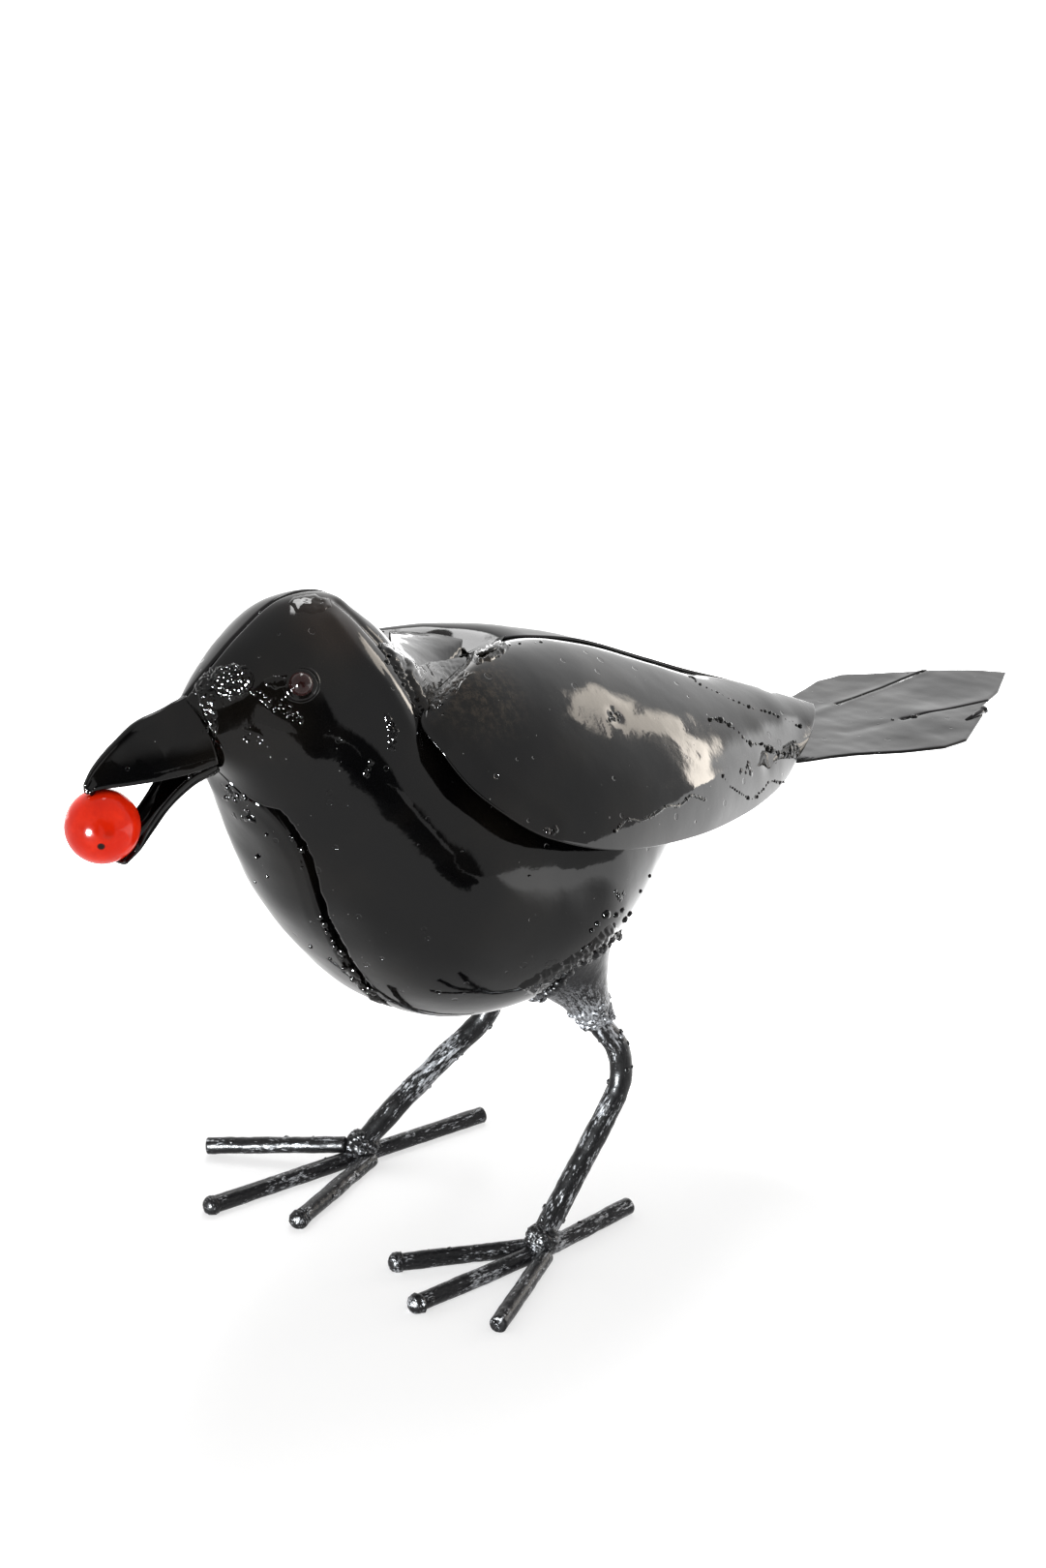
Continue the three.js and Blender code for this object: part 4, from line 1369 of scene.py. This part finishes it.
def new_material(name):
    material = bpy.data.materials.new(name)
    material.use_nodes = True
    return material, Nodes(material.node_tree), material.node_tree.nodes["Principled BSDF"]


# Colours of the paint
BLACK = (0.0012, 0.0012, 0.0014, 1)
WARM_BLACK = (0.0050, 0.0042, 0.0034, 1)
SHEEN_BROWN = (0.055, 0.042, 0.03, 1)
DARK_BROWN = (0.022, 0.013, 0.008, 1)
DUST = (0.45, 0.45, 0.44, 1)
BAR_BLACKS = (0.006, 0.006, 0.007, 1), (0.02, 0.02, 0.021, 1)
BAR_SILVERS = (0.13, 0.133, 0.14, 1), (0.46, 0.47, 0.49, 1)
BERRY_REDS = (0.70, 0.016, 0.002, 1), (0.86, 0.027, 0.004, 1)
BERRY_SPOT = (0.35, 0.02, 0.01, 1)
PIT_SHADE_BLACK = (0.02, 0.006, 0.004, 1)
EYE_BROWNS = (0.008, 0.0022, 0.002, 1), (0.035, 0.010, 0.009, 1)
# Where a brownish sheen is painted on the near wing's front rim, as a painted warm reflection, and where the
# paint is brown at the nape
SHEEN_PLACE = (30, -84, 200)
BROWN_PLACE = (14, -124, 226)
# The height of the brush noise at which silver begins to cover a bar and a thigh's cone
BAR_COVER, CONE_COVER = 0.515, 0.44


def black_paint(name):
    """Thick glossy black paint with faint brush ripple, pits, dust, a warmer tone in places, a painted warm
    reflection on the near wing's front rim and brown at the nape.
    """
    material, n, shader = new_material(name)
    place = n.place()
    colour = n.mix(n.ramp(n.noise(place, 30, 3), 0.42, 0.72), BLACK, WARM_BLACK)
    # painted warm reflection: a mottled brownish tint on the near wing's front rim
    sheen_mottle = n.ramp(n.noise(place, 420, 5, 0.75), 0.42, 0.7)
    colour = n.mix(n.product(n.near(SHEEN_PLACE, 8, 18), sheen_mottle, 0.6), colour, SHEEN_BROWN)
    colour = n.mix(n.product(n.near(BROWN_PLACE, 5, 14), 0.5), colour, DARK_BROWN)
    dust = n.product(n.spots(place, 260, 0.045), n.ramp(n.noise(place, 55, 2), 0.45, 0.6), 0.5)
    ripple = n.bump(n.noise(place, 300, 2, 0.5), 0.00006, 0.5)
    wave = n.bump(n.noise(place, 75, 1, 0.4), 0.00035, 0.35, ripple)
    n.fill(shader, {
        "Base Color": n.mix(dust, colour, DUST),
        "Roughness": n.ramp(n.noise(place, 90, 4, 0.6), 0.35, 0.75, 0.04, 0.11),
        "IOR": 1.42,
        "Specular IOR Level": 0.34,
        "Normal": n.bump(n.product(n.spots(place, 130, 0.16), -1), 0.0004, 0.7, wave),
    })
    return material


def silver_brush(name, bare, fade=None):
    """Silver dragged over black along the bar, in streaks and patches."""
    material, n, shader = new_material(name)
    place = n.place()
    flow = n.add("ShaderNodeAttribute", attribute_name="flow").outputs["Vector"]
    streak = n.noise(n.scaled(flow, (0.14, 0.62, 0.62)), 1.0, 5, 0.62)
    grain = n.noise(n.scaled(flow, (0.5, 1.7, 1.7)), 1.0, 4, 0.65)
    broad = n.math("SUBTRACT", n.noise(place, 42, 2, 0.5), 0.5)
    cover = n.math("ADD", n.product(streak, 0.55), n.product(grain, 0.45))
    cover = n.math("ADD", cover, n.product(broad, 0.35))
    mask = n.ramp(cover, bare, bare + 0.1)
    if fade is not None:
        mask = n.product(mask, fade(n))
    black = n.mix(n.ramp(grain, 0.3, 0.7), *BAR_BLACKS)
    silver = n.mix(n.ramp(grain, 0.35, 0.75), *BAR_SILVERS)
    rough = n.bump(n.noise(place, 420, 3, 0.6), 0.0003, 0.6)
    n.fill(shader, {
        "Base Color": n.mix(mask, black, silver),
        "Roughness": n.ramp(mask, 0, 1, 0.3, 0.5),
        "Metallic": n.product(mask, 0.35),
        "IOR": 1.45,
        "Specular IOR Level": 0.2,
        "Normal": n.bump(mask, 0.0001, 0.5, rough),
    })
    return material


def thigh_fade(n):
    """Silver on the cone's lower end only, fading to black paint by the belly."""
    z = n.add("ShaderNodeSeparateXYZ", {0: n.place()}).outputs[2]
    ragged = n.math("ADD", z, n.product(n.noise(n.place(), 120, 3), 0.010))
    return n.ramp(ragged, 0.104, 0.088)


def berry_red(name):
    """Red paint with faint streaks, painted shade in the stalk's pit and a darker spot beside it."""
    material, n, shader = new_material(name)
    place = n.place()
    pit = np.array(BERRY_CENTRE) + berry_mark(*STALK_PIXEL) * BERRY_RADIUS
    spot = np.array(BERRY_CENTRE) + berry_mark(*SPOT_PIXEL) * BERRY_RADIUS
    streaks = n.noise(place, 160, 3, 0.6)
    red = n.mix(n.ramp(streaks, 0.3, 0.75), *BERRY_REDS)
    red = n.mix(n.product(n.near(spot, 0.4, 1.8), 0.35), red, BERRY_SPOT)
    n.fill(shader, {
        # painted shade: the stalk's pit is painted near black
        "Base Color": n.mix(n.near(pit, 0.9, 0.5), red, PIT_SHADE_BLACK),
        "Roughness": n.ramp(streaks, 0.3, 0.8, 0.08, 0.2),
        "IOR": 1.5,
        "Specular IOR Level": 0.16,
        "Normal": n.bump(n.noise(place, 220, 2), 0.00015, 0.4),
    })
    return material


def eye_glass(name):
    material, n, shader = new_material(name)
    tone = n.noise(n.place(), 300, 3)
    n.fill(shader, {
        "Base Color": n.mix(tone, *EYE_BROWNS),
        "Roughness": n.ramp(tone, 0.3, 0.7, 0.1, 0.2),
        "IOR": 1.5,
        "Specular IOR Level": 0.3,
    })
    return material


# Camera, floor and lights. Lengths are in metres from here on, and angles in degrees
def make_camera():
    camera = add_object("Camera", bpy.data.cameras.new("Camera"))
    camera.location = Vector(CAMERA_TARGET) + CAMERA_BACK * CAMERA_DISTANCE
    camera.rotation_mode = "QUATERNION"
    camera.rotation_quaternion = (-CAMERA_BACK).to_track_quat("-Z", "Y")
    camera.data.sensor_fit = "AUTO"
    camera.data.sensor_width = SENSOR
    camera.data.lens = FOCAL_PIXELS / IMAGE_SIZE[1] * SENSOR
    bpy.context.scene.camera = camera


FLOOR_REACH = 30
# How brightly the floor glows, before the bird and where it runs up into the backdrop
FLOOR_GLOW = (0.6, 3.0)


def make_floor():
    mesh = bpy.data.meshes.new("Floor")
    corners = [(x * FLOOR_REACH, y * FLOOR_REACH, 0) for x, y in ((-1, -1), (1, -1), (1, 1), (-1, 1))]
    mesh.from_pydata(corners, [], [(0, 1, 2, 3)])
    floor = add_object("Floor", mesh)
    material, n, shader = new_material("floor_white")
    parts = n.add("ShaderNodeSeparateXYZ", {0: n.place()}).outputs
    away = n.math("SUBTRACT", n.product(parts[1], 0.94), n.product(parts[0], 0.34))
    n.fill(shader, {
        "Base Color": (0.42, 0.42, 0.42, 1),
        "Roughness": 0.9,
        "Specular IOR Level": 0,
        "Emission Color": (1, 1, 1, 1),
        "Emission Strength": n.ramp(away, 0.0, 0.16, *FLOOR_GLOW),
    })
    mesh.materials.append(material)


# Lights on the studio's walls: the azimuth of the middle, how far round it is whole and where it ends,
# then its strength and the elevations between which it fades, each with the share before and after
WALL_LIGHTS = [
    (-130, 30, 80, 0.75, [(25, 60, 1, 0)]),
    (-136, 8, 12, 13, [(43, 49, 0, 1), (68, 76, 1, 0)]),
    (180, 6, 12, 2.2, [(6, 12, 1, 0)]),
]


def make_world():
    world = bpy.data.worlds.new("Studio")
    bpy.context.scene.world = world
    world.use_nodes = True
    n = Nodes(world.node_tree)
    ray = n.add("ShaderNodeTexCoord").outputs["Generated"]
    x, y, z = n.add("ShaderNodeSeparateXYZ", {0: ray}).outputs[:3]
    # azimuth 0 is straight ahead of the bird and 90 is on its left
    azimuth = n.product(n.math("ARCTAN2", x, n.product(y, -1)), 180 / math.pi)
    elevation = n.product(n.math("ARCSINE", z), 180 / math.pi)

    def turned(centre):
        """Degrees round from a centre azimuth, from 0 to 180."""
        return n.math("ABSOLUTE", n.math("WRAP", n.math("SUBTRACT", azimuth, centre), 180, -180))

    shade = n.product(n.ramp(turned(82), 13, 17, 1, 0), n.ramp(elevation, 18, 48, 1, 0), 0.92)
    light = n.product(n.ramp(elevation, -5, 60, 0.98, 0.82), n.math("SUBTRACT", 1, shade))
    for centre, whole, end, strength, fades in WALL_LIGHTS:
        glow = n.product(*(n.ramp(elevation, *fade) for fade in fades))
        glow = n.product(glow, n.ramp(turned(centre), whole, end, 1, 0))
        light = n.math("ADD", light, n.product(glow, strength))

    # the softbox behind the bird's left, which other things partly hide
    round_left = n.math("WRAP", azimuth, 360, 0)
    left_edge = n.math("SUBTRACT", n.ramp(elevation, 5, 21.5, 166, 178), n.ramp(elevation, 22, 23.5, 0, 8))
    right_edge = n.math("ADD", n.ramp(elevation, 3, 17, 171, 181), n.ramp(elevation, 17, 18.5, 0, 8))
    right_edge = n.math("SUBTRACT", right_edge, n.ramp(elevation, 21, 25, 0, 7))
    box = n.product(
        n.ramp(n.math("SUBTRACT", round_left, left_edge), -0.7, 0.7),
        n.ramp(n.math("SUBTRACT", right_edge, round_left), -1.5, 2.5),
        n.ramp(elevation, 24.5, 26.5, 1, 0),
    )
    strength = n.ramp(elevation, 11, 22, 17, 7)
    warm_inputs = {0: strength, 1: n.product(strength, 0.92), 2: n.product(strength, 0.82)}
    warm = n.add("ShaderNodeCombineColor", warm_inputs).outputs[0]
    plain = n.add("ShaderNodeCombineColor", {0: light, 1: light, 2: light}).outputs[0]
    n.fill(world.node_tree.nodes["Background"], {"Color": n.mix(box, plain, warm)})


def make_front_light():
    """A small round light near the camera's right, which the gloss shows and the floor doesn't."""
    data = bpy.data.lights.new("Front", "AREA")
    data.shape = "DISK"
    data.size = 0.19
    data.energy = 130
    data.color = (0.93, 0.97, 1)
    light = add_object("Front", data)
    toward = direction(14, 1)
    light.location = Vector((0, 0, 0.12)) + toward * 1.06
    light.rotation_mode = "QUATERNION"
    light.rotation_quaternion = (-toward).to_track_quat("-Z", "Y")
    light.visible_camera = False
    light.visible_diffuse = False


# The dark cards beside the camera that the gloss picks up: azimuth, foot and top
FLAG_RADIUS = 1.15
FLAG_HEIGHTS = [
    (-4, 0.002, 0.5), (20, 0.002, 0.62), (30, 0.002, 0.75), (38, 0.002, 1.15), (40, 0.002, 1.15),
    (41, 0.68, 1.15), (50, 0.5, 1.15), (56, 0.32, 1.15), (60, 0.06, 1.0), (63, 0.002, 0.9),
    (76, 0.002, 0.45),
]
# The dark floor beside them: azimuth and how near it comes
APRON_REACH = [(59, 1.1), (63, 0.8), (74, 0.85), (79, 1.0), (83, 1.3), (89, 1.8)]
APRON_END = 12
APRON_HEIGHT = 0.001


def make_flag():
    """Black cards and floor at the camera's side, seen only in reflections."""
    def around(azimuth, reach, height):
        turn = math.radians(azimuth)
        return math.sin(turn) * reach, -math.cos(turn) * reach, height

    azimuths, feet, tops = zip(*FLAG_HEIGHTS)
    points = []
    for azimuth in np.linspace(azimuths[0], azimuths[-1], 81):
        for heights in (feet, tops):
            points.append(around(azimuth, FLAG_RADIUS, np.interp(azimuth, azimuths, heights)))
    apron_start = len(points)
    azimuths, starts = zip(*APRON_REACH)
    for azimuth in np.linspace(azimuths[0], azimuths[-1], 21):
        for reach in (np.interp(azimuth, azimuths, starts), APRON_END):
            points.append(around(azimuth, reach, APRON_HEIGHT))
    first = [k for k in range(0, len(points) - 2, 2) if k + 2 != apron_start]
    mesh = bpy.data.meshes.new("Flag")
    mesh.from_pydata(points, [], [(k, k + 1, k + 3, k + 2) for k in first])
    flag = add_object("Flag", mesh)
    material, n, shader = new_material("flag_black")
    n.fill(shader, {"Base Color": (0.002, 0.002, 0.002, 1), "Roughness": 1})
    mesh.materials.append(material)
    flag.visible_camera = False
    flag.visible_diffuse = False
    flag.visible_shadow = False


make_camera()
make_floor()
make_world()
make_flag()
make_front_light()
bpy.context.scene.view_settings.view_transform = "Standard"

body_skins = {label: Skin(body_surface(*square(140, 100), label)) for label in SIDES}
wing_skins = {label: Skin(wing_surface(*square(140, 100), label)) for label in SIDES}
paint = black_paint("black_gloss_paint")
bars = silver_brush("silver_brushed_bar", BAR_COVER)
cones = silver_brush("silver_brushed_cone", CONE_COVER, thigh_fade)
beads = eye_glass("eye_bead_glass")
for number, label in enumerate(SIDES):
    make_wing(label, paint)
    make_body(label, paint)
    make_eye(label, beads)
    make_leg(label, 101 + number, bars)
    make_thigh(label, 111 + number, cones)
    for kind in ("long", "inner", "outer"):
        make_toe(label, kind, 121 + number * 10 + len(kind), bars)
make_tail(paint)
make_upper_beak(paint)
make_lower_beak(paint)
make_berry(berry_red("berry_red_paint"))
